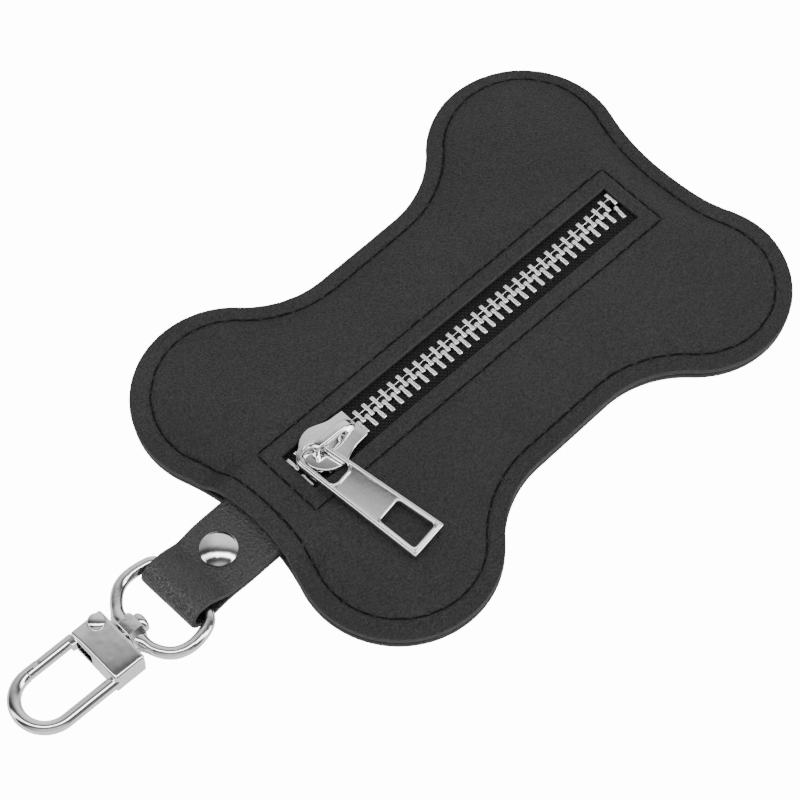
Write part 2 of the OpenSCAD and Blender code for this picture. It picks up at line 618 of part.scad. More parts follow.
low_head = 0.2;         // the pin's lower head is nearly flush, so the hook lies flat
gate_gap = 0.12;
module gate() {
    tail = house_t - 2 * wall - 2 * gate_gap;
    start = house_front - 0.15;
    color([0.82, 0.82, 0.82]) at_axis() difference() {
        union() {
            translate([0, 0, -tail / 2]) linear_extrude(tail) {
                translate([pin_x, pin_y]) circle(r = knuckle_r);
                polygon([[pin_x, pin_y + knuckle_r], [start - 1, pin_y + knuckle_r], [start - 1, pin_y - 0.2],
                    [pin_x, pin_y - knuckle_r]]);
            }
            translate([start, bend_r, 0]) rotate([0, -90, 0]) cylinder(r = gate_r, h = start - notch_x - 0.2, $fn = 32);
        }
        translate([nose_x + 0.15 - 5, bend_r - 0.1, -2]) cube([5, 3, 4]);
        translate([pin_x, pin_y, -house_t]) cylinder(r = pin_r + run_gap, h = 2 * house_t);
    }
}

module gate_pin() {
    color([0.82, 0.82, 0.82]) at_axis() translate([pin_x, pin_y, 0]) {
        cylinder(r = pin_r, h = house_t + 2 * eps, center = true);
        translate([0, 0, -house_t / 2 - low_head]) cylinder(r1 = pin_head_r - 0.4, r2 = pin_head_r, h = low_head);
        intersection() {
            translate([0, 0, house_t / 2 - 2.6]) sphere(r = 3.2, $fn = 64);
            translate([0, 0, house_t / 2]) cylinder(r = pin_head_r, h = 1);
        }
    }
}

// A small compression spring between the gate's tail and the pocket's wall
spring_r = 0.9;
spring_wire = 0.18;
spring_x = pin_x - 2.3;
spring_turns = 3.5;
spring_len = pin_y - knuckle_r - slot_low - 0.12;
module gate_spring() {
    n = 28;
    m = 6;
    echo(least_gap = (spring_len - 2 * spring_wire) / spring_turns - 2 * spring_wire);
    function mid(i) = [spring_x + spring_r * cos(360 * spring_turns * i / n),
        slot_low + 0.05 + spring_wire + (spring_len - 2 * spring_wire) * i / n,
        spring_r * sin(360 * spring_turns * i / n)];
    pts = [for (i = [0:n]) let(c = mid(i), a = 360 * spring_turns * i / n) for (j = [0:m - 1])
        c + spring_wire * (cos(360 * j / m) * [cos(a), 0, sin(a)] + sin(360 * j / m) * [0, 1, 0])];
    sides = [for (i = [0:n - 1]) for (j = [0:m - 1]) let(a = i * m + j, b = i * m + (j + 1) % m)
        for (f = [[a, b, b + m], [a, b + m, a + m]]) f];
    color([0.7, 0.7, 0.7]) at_axis() polyhedron(pts, concat(sides,
        [for (j = [1:m - 2]) [0, j + 1, j]], [for (j = [1:m - 2]) [n * m, n * m + j, n * m + j + 1]]));
}

front_panel();
back_panel();
perimeter_stitching();
frame_stitching();
tape_left();
tape_right();
teeth_left();
teeth_right();
slider_body();
slider_crown();
pull_tab();
strap();
rivet_cap();
rivet_back();
swivel_ring();
swivel_post();
hook_body();
gate();
gate_pin();
gate_spring();
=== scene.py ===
"""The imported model's looks: a bone-shaped zip pouch with a riveted strap, a D ring and a gated hook."""
import math

import bpy
import bmesh
import numpy as np
from mathutils import Matrix, Vector, kdtree, noise


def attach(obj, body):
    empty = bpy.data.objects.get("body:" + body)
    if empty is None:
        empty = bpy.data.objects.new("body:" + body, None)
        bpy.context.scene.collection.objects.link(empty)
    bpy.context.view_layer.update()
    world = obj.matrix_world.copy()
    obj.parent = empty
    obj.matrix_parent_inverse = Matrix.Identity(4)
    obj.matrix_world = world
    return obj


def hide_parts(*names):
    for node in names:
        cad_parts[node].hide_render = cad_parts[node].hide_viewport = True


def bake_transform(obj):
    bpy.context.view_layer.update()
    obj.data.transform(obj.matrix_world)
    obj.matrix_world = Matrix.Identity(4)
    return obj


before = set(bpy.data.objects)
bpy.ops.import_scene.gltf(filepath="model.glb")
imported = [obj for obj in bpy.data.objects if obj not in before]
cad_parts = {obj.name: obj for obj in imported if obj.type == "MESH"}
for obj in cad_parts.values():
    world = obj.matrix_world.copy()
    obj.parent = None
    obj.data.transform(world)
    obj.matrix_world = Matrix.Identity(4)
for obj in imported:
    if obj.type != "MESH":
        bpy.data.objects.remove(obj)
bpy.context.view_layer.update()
MM = 0.001
rng = np.random.default_rng(7)

# ---------------------------------------------------------------- sizes in mm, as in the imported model
LOBE_X, LOBE_Y, LOBE_R, END_X = 41.1, 22.9, 20.1, 57.4
WAIST, WAIST_R, LEATHER = 29.5, 22.9, 1.3
SEAM_IN, SEAM_D, LIP = 3.4, np.array([0.5, 0.35]), 0.3
THREAD_R, PITCH, HOLE_GAP = 0.28, 3.4, 0.06
HALF_STITCH = PITCH * (0.5 - HOLE_GAP)
TURN = math.radians(-0.8)
SLOT_X, SLOT_Y, FRAME_X, FRAME_Y = 44.85, 4.95, 47.8, 8.35
TAPE_Y, TAPE_T, TOOTH_PITCH, TOOTH_W = 9.8, 0.4, 2.3, 1.0
REACH, HEAD, TOOTH_T = 2.75, 0.55, 2.1
SL, NOSE_R, NOSE_AT, TAIL = -29.7, 5.3, 7.7, 3.65
ZIP_Z = LEATHER + 0.2 + 0.9 + (TOOTH_T + 0.3) / 2
LEATHER_Z = ZIP_Z + TAPE_T / 2 + 0.02
RISE, DECK_Z = LEATHER_Z - LEATHER, LEATHER_Z + LEATHER
RIM_Z = DECK_Z + 0.2
PLATE_Z = RIM_Z + 0.9
DECK_X, DECK_Y = 46.3, TAPE_Y + 0.3
STRAP_Y, STRAP_W, STRAP_T, STRAP_END = -0.8, 15.5, 1.2, -48.6
RIVET_X, RIVET_Y, CAP_R, CAP_H = -66.3, -0.2, 3.75, 1.6
BAR_X, WIRE_R, RING_DEPTH = -76.4, 1.2, 14.5
BOSS_LEN, SWIVEL_R, POST_IN, HEAD_GAP = 3.4, 1.3, 1.6, 0.1
AXIS_Z, AXIS_Y, HANG = 3.15, -1.3, math.radians(-2.2)
BOSS_OUT = BAR_X - RING_DEPTH
HOUSE_BACK = BOSS_OUT - 0.4
HOUSE_FRONT = HOUSE_BACK - 7.1
HOUSE_W, HOUSE_T, HOUSE_OFF = 13.2, 5.8, 0.25
HOUSE_WALL, BACK_WALL, KNUCKLE_R, RUN_GAP, GATE_GAP = 1.4, 0.9, 1.15, 0.05, 0.12
BEND_R, HOOK_R, GATE_R = 5.95, 1.35, 1.25
BEND_X = HOUSE_FRONT - 11
NOSE_X, NOTCH_X = BEND_X + 3.05, BEND_X + 0.25
PIN_X, PIN_Y = HOUSE_BACK - BACK_WALL - RUN_GAP - KNUCKLE_R, 4.65


# ---------------------------------------------------------------- small tools
def turned(p):
    p = np.asarray(p, float)
    c, s = math.cos(TURN), math.sin(TURN)
    q = p.copy()
    q[..., 0] = p[..., 0] * c - p[..., 1] * s
    q[..., 1] = p[..., 0] * s + p[..., 1] * c
    return q


def on_axis(p):
    """Points given along the hook's own axis, placed at the ring's bar."""
    p = np.asarray(p, float)
    c, s = math.cos(HANG), math.sin(HANG)
    q = p.copy()
    dx = p[..., 0] - BAR_X
    q[..., 0] = BAR_X + c * dx - s * p[..., 1]
    q[..., 1] = AXIS_Y + s * dx + c * p[..., 1]
    q[..., 2] = AXIS_Z + p[..., 2]
    return q


def smooth(t):
    t = np.clip(t, 0, 1)
    return t * t * (3 - 2 * t)


def link(me, name):
    ob = bpy.data.objects.new(name, me)
    bpy.context.scene.collection.objects.link(ob)
    return ob


def build(name, verts, faces, mats, mat_ids=None, sharp=40):
    """A mesh object from points in mm."""
    me = bpy.data.meshes.new(name)
    me.from_pydata((np.asarray(verts, float) * MM).tolist(), [], [tuple(int(i) for i in f) for f in faces])
    for m in mats if isinstance(mats, (list, tuple)) else [mats]:
        me.materials.append(m)
    if mat_ids is not None:
        me.polygons.foreach_set("material_index", np.asarray(mat_ids, np.int32))
    finish_mesh(me, sharp)
    return link(me, name)


def finish_mesh(me, sharp=40):
    bm = bmesh.new()
    bm.from_mesh(me)
    bmesh.ops.recalc_face_normals(bm, faces=bm.faces)
    for f in bm.faces:
        f.smooth = True
    limit = math.radians(sharp)
    for e in bm.edges:
        if len(e.link_faces) == 2 and e.calc_face_angle(0) > limit:
            e.smooth = False
    bm.to_mesh(me)
    bm.free()


def merge(parts):
    """Several (verts, faces) into one."""
    vs, fs, n = [], [], 0
    for v, f in parts:
        vs.append(np.asarray(v, float))
        fs += [tuple(i + n for i in q) for q in f]
        n += len(v)
    return np.vstack(vs), fs


def tube(path, r, seg, closed=False):
    """A round bar along a path; r is one radius or one for each point."""
    p = np.asarray(path, float)
    n = len(p)
    r = np.broadcast_to(np.asarray(r, float), (n,))
    t = np.roll(p, -1, 0) - np.roll(p, 1, 0) if closed else np.gradient(p, axis=0)
    t /= np.linalg.norm(t, axis=1)[:, None]
    side = np.cross(t, np.array([0.0, 0.0, 1.0]))
    side /= np.linalg.norm(side, axis=1)[:, None]
    top = np.cross(side, t)
    a = np.arange(seg) * 2 * np.pi / seg
    ring = side[:, None, :] * np.cos(a)[None, :, None] + top[:, None, :] * np.sin(a)[None, :, None]
    v = (p[:, None, :] + ring * r[:, None, None]).reshape(-1, 3)
    f = []
    for i in range(n if closed else n - 1):
        j = (i + 1) % n
        for k in range(seg):
            m = (k + 1) % seg
            f.append((i * seg + k, i * seg + m, j * seg + m, j * seg + k))
    if not closed:
        f.append(tuple(range(seg)))
        f.append(tuple((n - 1) * seg + k for k in range(seg - 1, -1, -1)))
    return v, f


def lathe(profile, seg):
    """A turned shape about +Z from (radius, height) points, its first and last on the axis."""
    pr = np.asarray(profile, float)
    a = np.arange(seg) * 2 * np.pi / seg
    inner = pr[1:-1]
    rings = [[r * math.cos(t), r * math.sin(t), z] for r, z in inner for t in a]
    v = [[0, 0, pr[0, 1]]] + rings + [[0, 0, pr[-1, 1]]]
    f = []
    for k in range(seg):
        m = (k + 1) % seg
        f.append((0, 1 + k, 1 + m))
        for i in range(len(inner) - 1):
            f.append((1 + i * seg + k, 1 + (i + 1) * seg + k, 1 + (i + 1) * seg + m, 1 + i * seg + m))
        b = 1 + (len(inner) - 1) * seg
        f.append((b + k, len(v) - 1, b + m))
    return np.array(v, float), f


def area2(l):
    x, y = l[:, 0], l[:, 1]
    return float((x * np.roll(y, -1) - np.roll(x, -1) * y).sum())


def offset_loop(l, d):
    """Each point moved d to its left, along the mean of its two edges' normals."""
    e0 = l - np.roll(l, 1, 0)
    e1 = np.roll(l, -1, 0) - l
    n0 = np.stack([-e0[:, 1], e0[:, 0]], 1) / np.linalg.norm(e0, axis=1)[:, None]
    n1 = np.stack([-e1[:, 1], e1[:, 0]], 1) / np.linalg.norm(e1, axis=1)[:, None]
    m = n0 + n1
    m /= np.linalg.norm(m, axis=1)[:, None]
    k = 1 / np.clip((m * n0).sum(1), 0.5, 1)
    return l + m * (k * d)[:, None]


def emptied(bm):
    """The mesh's points and faces; the mesh itself is freed."""
    bm.verts.index_update()
    v = np.array([q.co[:] for q in bm.verts], float)
    f = [tuple(q.index for q in face.verts) for face in bm.faces]
    bm.free()
    return v, f


def slab(loops, z0, z1, bevel, steps=3, low=None):
    """A flat plate with rounded edges, as (verts, faces). loops[0] is its outline and the rest its holes."""
    low = bevel if low is None else low
    turns = [math.pi / 2 * k / steps for k in range(steps + 1)]
    prof = [(low * (1 - math.sin(a)), z0 + low * (1 - math.cos(a))) for a in turns]
    prof += [(bevel * (1 - math.cos(a)), z1 - bevel * (1 - math.sin(a))) for a in turns]
    bm = bmesh.new()
    caps = ([], [])
    for i, l in enumerate(loops):
        l = np.asarray(l, float)
        n = len(l)
        if (i == 0) != (area2(l) > 0):
            l = l[::-1]
        rows = [[bm.verts.new((x, y, z)) for x, y in offset_loop(l, d)] for d, z in prof]
        for a, b in zip(rows[:-1], rows[1:]):
            for k in range(n):
                m = (k + 1) % n
                bm.faces.new((a[k], a[m], b[m], b[k]))
        for cap, row in zip(caps, (rows[0], rows[-1])):
            cap.append(row)
    for cap in caps:
        if len(cap) == 1:
            bm.faces.new(cap[0])
            continue
        rim = [bm.edges.get((row[k], row[(k + 1) % len(row)])) for row in cap for k in range(len(row))]
        bmesh.ops.triangle_fill(bm, use_beauty=True, use_dissolve=False, edges=rim, normal=(0, 0, 1))
    bmesh.ops.recalc_face_normals(bm, faces=bm.faces)
    return emptied(bm)


def dished(v, f, xs, ys, drop):
    """The same plate cut along the lines x = xs and y = ys, each point then moved by drop(v) in z."""
    bm = bmesh.new()
    vs = [bm.verts.new(q) for q in v]
    for t in f:
        bm.faces.new([vs[i] for i in t])
    for axis, places in ((0, xs), (1, ys)):
        for c in places:
            co, no = [0, 0, 0], [0, 0, 0]
            co[axis], no[axis] = c, 1
            bmesh.ops.bisect_plane(bm, geom=bm.verts[:] + bm.edges[:] + bm.faces[:], plane_co=co, plane_no=no)
    v, f = emptied(bm)
    v[:, 2] += drop(v)
    return v, f


def rounded_box(lo, hi, r, n, k, crown):
    """A box with round edges whose top falls away by the crown towards its sides."""
    lo, hi = np.asarray(lo, float), np.asarray(hi, float)
    c, h = (lo + hi) / 2, (hi - lo) / 2
    axes = []
    for a in range(3):
        band = [h[a] - r + r * math.sin(math.pi / 2 * i / k) * 0.999 for i in range(1, k + 1)]
        mid = list(np.linspace(-(h[a] - r), h[a] - r, n))
        axes.append(np.array([-b for b in band[::-1]] + mid + band))
    verts, index, faces = [], {}, []

    def vid(p):
        key = tuple(round(float(x), 6) for x in p)
        if key not in index:
            index[key] = len(verts)
            verts.append(p)
        return index[key]

    for a in range(3):
        b, d = (a + 1) % 3, (a + 2) % 3
        for s in (-1, 1):
            for i in range(len(axes[b]) - 1):
                for j in range(len(axes[d]) - 1):
                    q = []
                    for ii, jj in ((i, j), (i + 1, j), (i + 1, j + 1), (i, j + 1)):
                        p = np.zeros(3)
                        p[a], p[b], p[d] = s * axes[a][-1], axes[b][ii], axes[d][jj]
                        q.append(vid(p))
                    if len(set(q)) == 4:
                        faces.append(tuple(q if s > 0 else q[::-1]))
    v = np.array(verts)
    inner = np.clip(v, -(h - r), h - r)
    d = v - inner
    out = inner + d / np.maximum(np.linalg.norm(d, axis=1), 1e-9)[:, None] * r
    t = np.clip(np.abs(out[:, 1] / h[1]), 0, 1)
    sag = crown * (0.45 * t ** 2 + 0.55 * t ** 5) + 0.05 * (out[:, 0] / h[0]) ** 2
    out[:, 2] -= sag * np.clip(out[:, 2] / h[2], 0, 1)
    return out + c, faces


def cut(ob, cutters, bevel=0.0):
    """ob less the cutters, given as (verts, faces) in mm, its sharp edges then broken by the bevel."""
    for n, (v, f) in enumerate(cutters):
        c = build(ob.name + "_cut%d" % n, v, f, [])
        m = ob.modifiers.new("cut", "BOOLEAN")
        m.operation, m.object, m.solver = "DIFFERENCE", c, "EXACT"
        bpy.context.view_layer.update()
        dg = bpy.context.evaluated_depsgraph_get()
        me = bpy.data.meshes.new_from_object(ob.evaluated_get(dg))
        ob.modifiers.clear()
        ob.data = me
        bpy.data.objects.remove(c)
    if bevel:
        m = ob.modifiers.new("bevel", "BEVEL")
        m.width, m.segments, m.limit_method, m.angle_limit = bevel * MM, 2, "ANGLE", math.radians(40)
        bpy.context.view_layer.update()
        me = bpy.data.meshes.new_from_object(ob.evaluated_get(bpy.context.evaluated_depsgraph_get()))
        ob.modifiers.clear()
        ob.data = me
    finish_mesh(ob.data, 35)
    return ob


def sheet(rows, cols):
    """Faces of a sheet with a grid of points on top and one below; each is marked 0, 1 (low) or 2 (wall)."""
    n = rows * cols
    top, low, wall = [], [], []
    for r in range(rows - 1):
        for a in range(r * cols, (r + 1) * cols - 1):
            top.append((a, a + 1, a + cols + 1, a + cols))
            low.append((n + a, n + a + cols, n + a + cols + 1, n + a + 1))
        a, b = r * cols, (r + 1) * cols - 1
        wall += [(a, a + cols, n + a + cols, n + a), (b, n + b, n + b + cols, b + cols)]
    for a in range(cols - 1):
        b = (rows - 1) * cols + a
        wall += [(a, n + a, n + a + 1, a + 1), (b, b + 1, n + b + 1, n + b)]
    return top + low + wall, [0] * len(top) + [1] * len(low) + [2] * len(wall)


def box_vf(lo, hi):
    lo, hi = np.asarray(lo, float), np.asarray(hi, float)
    v = np.array([[x, y, z] for x in (lo[0], hi[0]) for y in (lo[1], hi[1]) for z in (lo[2], hi[2])])
    return v, [(0, 1, 3, 2), (4, 6, 7, 5), (0, 4, 5, 1), (2, 3, 7, 6), (0, 2, 6, 4), (1, 5, 7, 3)]


# ---------------------------------------------------------------- materials
def material(name):
    m = bpy.data.materials.new(name)
    m.use_nodes = True
    nt = m.node_tree
    return m, nt, nt.nodes["Principled BSDF"]


def node(nt, kind, **values):
    n = nt.nodes.new(kind)
    for k, v in values.items():
        if k in n.inputs:
            n.inputs[k].default_value = v
        else:
            setattr(n, k, v)
    return n


def ramp(nt, stops, src):
    r = nt.nodes.new("ShaderNodeValToRGB")
    e = r.color_ramp.elements
    while len(e) < len(stops):
        e.new(0.5)
    for i, (p, c) in enumerate(stops):
        e[i].position = p
        e[i].color = (c, c, c, 1)
    nt.links.new(src, r.inputs[0])
    return r


def coordinates(nt):
    """The object's own coordinates, from the tree's one node for them."""
    tc = nt.nodes.get("Texture Coordinate") or nt.nodes.new("ShaderNodeTexCoord")
    return tc.outputs["Object"]


def noise_on(nt, **values):
    """A noise texture that keeps to the object."""
    n = node(nt, "ShaderNodeTexNoise", **values)
    nt.links.new(coordinates(nt), n.inputs["Vector"])
    return n


def map_range(nt, src, span, to, kind="LINEAR"):
    """src brought from the first range to the second."""
    n = node(nt, "ShaderNodeMapRange", interpolation_type=kind)
    for name, value in zip(("From Min", "From Max", "To Min", "To Max"), (*span, *to)):
        n.inputs[name].default_value = value
    nt.links.new(src, n.inputs["Value"])
    return n


def bump(nt, height, strength, distance, under=None):
    """A bump from a height, on top of another bump if one is given."""
    n = node(nt, "ShaderNodeBump", Strength=strength, Distance=distance)
    nt.links.new(height, n.inputs["Height"])
    if under:
        nt.links.new(under.outputs[0], n.inputs["Normal"])
    return n


def leather_material(name, dark, light, rough, grain, gloss=0.22, creased=False):
    m, nt, b = material(name)
    L = nt.links.new
    # pebbled grain: cells about 0.5 mm across, broken by finer noise
    warp = noise_on(nt, Scale=900, Detail=2)
    mix = node(nt, "ShaderNodeVectorMath", operation="MULTIPLY_ADD")
    L(warp.outputs["Color"], mix.inputs[0])
    mix.inputs[1].default_value = (0.0004, 0.0004, 0.0004)
    L(coordinates(nt), mix.inputs[2])
    cells = node(nt, "ShaderNodeTexVoronoi", Scale=1900, feature="SMOOTH_F1", Smoothness=0.4)
    L(mix.outputs[0], cells.inputs["Vector"])
    fine = noise_on(nt, Scale=2600, Detail=4, Roughness=0.65)
    broad = noise_on(nt, Scale=45, Detail=3)
    colour = ramp(nt, [(0.25, dark), (0.75, light)], broad.outputs["Fac"])
    speck = ramp(nt, [(0.36, 0.35), (0.64, 2.0)], fine.outputs["Fac"])
    skin = node(nt, "ShaderNodeMixRGB", blend_type="MULTIPLY")
    skin.inputs[0].default_value = 0.8
    L(colour.outputs[0], skin.inputs[1])
    L(speck.outputs[0], skin.inputs[2])
    if creased:
        # pale specks where the strap's skin is cracked by the fold
        place = nt.nodes.new("ShaderNodeSeparateXYZ")
        L(coordinates(nt), place.inputs[0])
        near_fold = map_range(nt, place.outputs[0], (-0.077, -0.0792), (0.0, 1.0), "SMOOTHSTEP")
        dots = noise_on(nt, Scale=2900, Detail=2)
        lit = ramp(nt, [(0.5, 0.0), (0.62, 0.045)], dots.outputs["Fac"])
        cracked = node(nt, "ShaderNodeMixRGB", blend_type="ADD")
        for src, socket in zip((near_fold, skin, lit), cracked.inputs):
            L(src.outputs[0], socket)
        skin = cracked
    L(skin.outputs[0], b.inputs["Base Color"])
    r = ramp(nt, [(0.2, rough - 0.07), (0.8, rough + 0.09)], cells.outputs["Distance"])
    L(r.outputs[0], b.inputs["Roughness"])
    pebbles = bump(nt, cells.outputs["Distance"], min(1.0, 0.45 * grain), 0.00022)
    pebbles.invert = True
    pores = bump(nt, fine.outputs["Fac"], min(1.0, 0.4 * grain), 0.00014, pebbles)
    L(pores.outputs[0], b.inputs["Normal"])
    b.inputs["Specular IOR Level"].default_value = gloss
    return m


def dull_material(name, texture, stops, rough, gloss, strength, distance):
    """A matt surface coloured and roughened by one noise."""
    m, nt, b = material(name)
    n = noise_on(nt, **texture)
    nt.links.new(ramp(nt, stops, n.outputs["Fac"]).outputs[0], b.inputs["Base Color"])
    nt.links.new(bump(nt, n.outputs["Fac"], strength, distance).outputs[0], b.inputs["Normal"])
    b.inputs["Roughness"].default_value = rough
    b.inputs["Specular IOR Level"].default_value = gloss
    return m


def tape_material():
    """The tape's weave, from two crossing sets of waves."""
    m, nt, b = material("tape_weave")
    L = nt.links.new
    weave = node(nt, "ShaderNodeMath", operation="MULTIPLY")
    for k, way in enumerate(("X", "DIAGONAL")):
        w = node(nt, "ShaderNodeTexWave", Scale=620, Distortion=0.4, Detail=1, bands_direction=way)
        L(coordinates(nt), w.inputs["Vector"])
        L(w.outputs["Fac"], weave.inputs[k])
    c = ramp(nt, [(0.05, 0.005), (0.9, 0.024)], weave.outputs[0])
    L(c.outputs[0], b.inputs["Base Color"])
    b.inputs["Roughness"].default_value = 0.85
    b.inputs["Specular IOR Level"].default_value = 0.1
    L(bump(nt, weave.outputs[0], 0.8, 0.00015).outputs[0], b.inputs["Normal"])
    return m


def metal_material(name, base, rough, wave=0.05, scale=260, fine=0.0):
    m, nt, b = material(name)
    L = nt.links.new
    broad = noise_on(nt, Scale=scale, Detail=2, Roughness=0.5)
    small = noise_on(nt, Scale=scale * 9, Detail=4, Roughness=0.65)
    c = ramp(nt, [(0.3, base * 0.9), (0.7, min(1.0, base * 1.04))], small.outputs["Fac"])
    L(c.outputs[0], b.inputs["Base Color"])
    b.inputs["Metallic"].default_value = 1.0
    r = ramp(nt, [(0.3, rough * 0.75), (0.75, rough * 1.3)], broad.outputs["Fac"])
    L(r.outputs[0], b.inputs["Roughness"])
    out = bump(nt, broad.outputs["Fac"], wave, 0.0008)
    if fine:
        out = bump(nt, small.outputs["Fac"], fine, 0.00008, out)
    L(out.outputs[0], b.inputs["Normal"])
    return m


LEATHER_MAT = leather_material("leather_front", 0.0105, 0.0145, 0.45, grain=2.4)
LEATHER_BACK = leather_material("leather_back", 0.009, 0.012, 0.52, grain=1.6)
STRAP_MAT = leather_material("leather_strap", 0.0105, 0.018, 0.36, grain=2.8, gloss=0.45, creased=True)
EDGE_MAT = dull_material("cut_edge", dict(Scale=1400, Detail=4, Roughness=0.7), [(0.3, 0.014), (0.75, 0.04)],
                         rough=0.75, gloss=0.5, strength=0.6, distance=0.0001)
THREAD_MAT = dull_material("thread", dict(Scale=3000, Detail=3), [(0.35, 0.002), (0.7, 0.007)],
                           rough=0.8, gloss=0.1, strength=0.5, distance=0.00008)
TAPE_MAT = tape_material()
NICKEL = metal_material("nickel", 0.84, 0.075, wave=0.05)
HOUSE_METAL = metal_material("nickel_housing", 0.84, 0.09, wave=0.2, scale=170)
CAST = metal_material("nickel_cast", 0.82, 0.09, wave=0.12, scale=420, fine=0.04)
TEETH_MAT = metal_material("teeth", 0.95, 0.24, wave=0.2, scale=700, fine=0.2)
SPRING_MAT = metal_material("spring_wire", 0.6, 0.35)

# ---------------------------------------------------------------- outline of the panels
END_R = ((END_X - LOBE_X) ** 2 + LOBE_Y ** 2 - LOBE_R ** 2) / (2 * (LOBE_R - (END_X - LOBE_X)))
END_CX = END_X + END_R
END_A = math.atan2(LOBE_Y, END_CX - LOBE_X)
HOLLOW_Y = WAIST + WAIST_R
HOLLOW_X = LOBE_X - math.sqrt((LOBE_R + WAIST_R) ** 2 - (HOLLOW_Y - LOBE_Y) ** 2)
HOLLOW_A = math.atan2(HOLLOW_Y - LOBE_Y, HOLLOW_X - LOBE_X)
N_END, N_LOBE, N_HOLLOW, N_WAIST = 30, 92, 40, 28
N_Q = N_END + N_LOBE + N_HOLLOW + N_WAIST


def quarter(d):
    t = END_A * np.arange(N_END) / N_END
    a = np.stack([END_CX - (END_R + d) * np.cos(t), (END_R + d) * np.sin(t)], 1)
    t = -END_A + (HOLLOW_A + END_A) * np.arange(N_LOBE) / N_LOBE
    b = np.stack([LOBE_X + (LOBE_R - d) * np.cos(t), LOBE_Y + (LOBE_R - d) * np.sin(t)], 1)
    t = HOLLOW_A + (math.pi / 2 - HOLLOW_A) * np.arange(N_HOLLOW) / N_HOLLOW
    c = np.stack([HOLLOW_X - (WAIST_R + d) * np.cos(t), HOLLOW_Y - (WAIST_R + d) * np.sin(t)], 1)
    t = np.arange(N_WAIST + 1) / N_WAIST
    e = np.stack([HOLLOW_X * (1 - t), np.full(len(t), WAIST - d)], 1)
    return np.vstack([a, b, c, e])


def quarter_rect(x, y):
    i = np.arange(N_Q + 1)
    return np.where((i <= N_END)[:, None], np.stack([np.full(len(i), x), y * i / N_END], 1),
                    np.stack([x * (1 - (i - N_END) / (N_Q - N_END)), np.full(len(i), y)], 1))


def loop4(q):
    a = q[:N_Q]
    b = q[1:][::-1] * [-1, 1]
    c = q[:N_Q] * [-1, -1]
    d = q[1:][::-1] * [1, -1]
    return np.vstack([a, b, c, d])


def outline(d, off=0.0):
    return loop4(quarter(d)) + off * SEAM_D


# where the sewn pouch lies a little off its pattern: centre, reach and shift of each place
SETTLE = [((46, 30), 17, (0.55, 0.25)), ((46, -30), 17, (-0.1, -0.3)), ((59, -13), 8, (-0.6, 0.0)),
          ((-46, 30), 17, (0.3, -0.15)), ((-46, -30), 17, (-0.2, -0.25))]
# and where the seam strays from an even distance to the edge
STRAY = [((47, 33), 20, (0.6, 0.55)), ((-46, 30), 18, (0.4, -0.4)), ((-46, -30), 18, (0.45, 0.5)),
         ((60, -18), 9, (-0.5, 0.0))]


def settled(p, places=SETTLE):
    p = np.array(p, float)
    move = np.zeros_like(p[..., :2])
    for c, reach, d in places:
        w = np.exp(-((p[..., 0] - c[0]) ** 2 + (p[..., 1] - c[1]) ** 2) / reach ** 2)
        move += w[..., None] * np.array(d)
    p[..., :2] += move
    return p


def dome(t):
    return LEATHER + RISE * (1 - (1 - t) ** 1.5)


STACK = 2 * STRAP_T + 0.08


def over_strap(p):
    o = np.abs(p[:, 1] - STRAP_Y) - STRAP_W / 2 - 1
    w = np.where(o <= 0, 1.0, np.where(o >= 6, 0.0, (1 + np.cos(np.pi * np.clip(o / 6, 0, 1))) / 2))
    return np.where(p[:, 0] > STRAP_END + 4, 0.0, w)


SEAM = settled(outline(SEAM_IN, 1), STRAY)
DECK = turned(loop4(quarter_rect(DECK_X, DECK_Y)))
SLOT = turned(loop4(quarter_rect(SLOT_X, SLOT_Y)))
N_P = 4 * N_Q


def resample(line, pitch):
    """Middle of each stitch along a closed line, and a function that gives points by length."""
    seg = np.linalg.norm(np.roll(line, -1, 0) - line, axis=1)
    s = np.concatenate([[0], np.cumsum(seg)])
    n = round(s[-1] / pitch)
    mids = (np.arange(n) + 0.5) * s[-1] / n
    ext = np.vstack([line, line[:1]])

    def at(x):
        x = np.mod(x, s[-1])
        return np.stack([np.interp(x, s, ext[:, 0]), np.interp(x, s, ext[:, 1])], -1)
    return mids, at


SEAM_MIDS, SEAM_AT = resample(SEAM, PITCH)


def frame_rows():
    """Ends of each stitch of the sewn frame, in the zipper's own axes."""
    out = []
    for s in (1, -1):
        along = ((-FRAME_X, s * FRAME_Y), (FRAME_X, s * FRAME_Y))
        across = ((s * FRAME_X, -FRAME_Y), (s * FRAME_X, FRAME_Y))
        for a, b in (np.array(along), np.array(across)):
            n = round(np.linalg.norm(b - a) / PITCH)
            for k in range(n):
                out.append((a + (b - a) * (k + HOLE_GAP) / n, a + (b - a) * (k + 1 - HOLE_GAP) / n))
    return out


FRAME_STITCHES = [(turned(a), turned(b)) for a, b in frame_rows()]
SEAM_STITCHES = [(SEAM_AT(m - HALF_STITCH), SEAM_AT(m + HALF_STITCH), SEAM_AT(m)) for m in SEAM_MIDS]


def frame_dist(p):
    """Distance from the sewn frame's line."""
    c, s = math.cos(-TURN), math.sin(-TURN)
    x = p[:, 0] * c - p[:, 1] * s
    y = p[:, 0] * s + p[:, 1] * c
    dx, dy = np.abs(x) - FRAME_X, np.abs(y) - FRAME_Y
    outside = np.hypot(np.maximum(dx, 0), np.maximum(dy, 0))
    return np.abs(np.where((dx <= 0) & (dy <= 0), np.maximum(dx, dy), outside))


def plan_tree(points):
    """A search tree of the points as seen in plan."""
    kd = kdtree.KDTree(len(points))
    for i, p in enumerate(points):
        kd.insert((p[0], p[1], 0), i)
    kd.balance()
    return kd


def near(points, q, cap=3.0):
    """Distance of each q from the nearest of the points."""
    kd = plan_tree(points)
    return np.array([min(kd.find((x, y, 0))[2], cap) for x, y in q])


def waviness(p, scale, seed):
    return np.array([noise.noise(Vector((x / scale + seed, y / scale - seed, seed * 0.37))) for x, y in p])


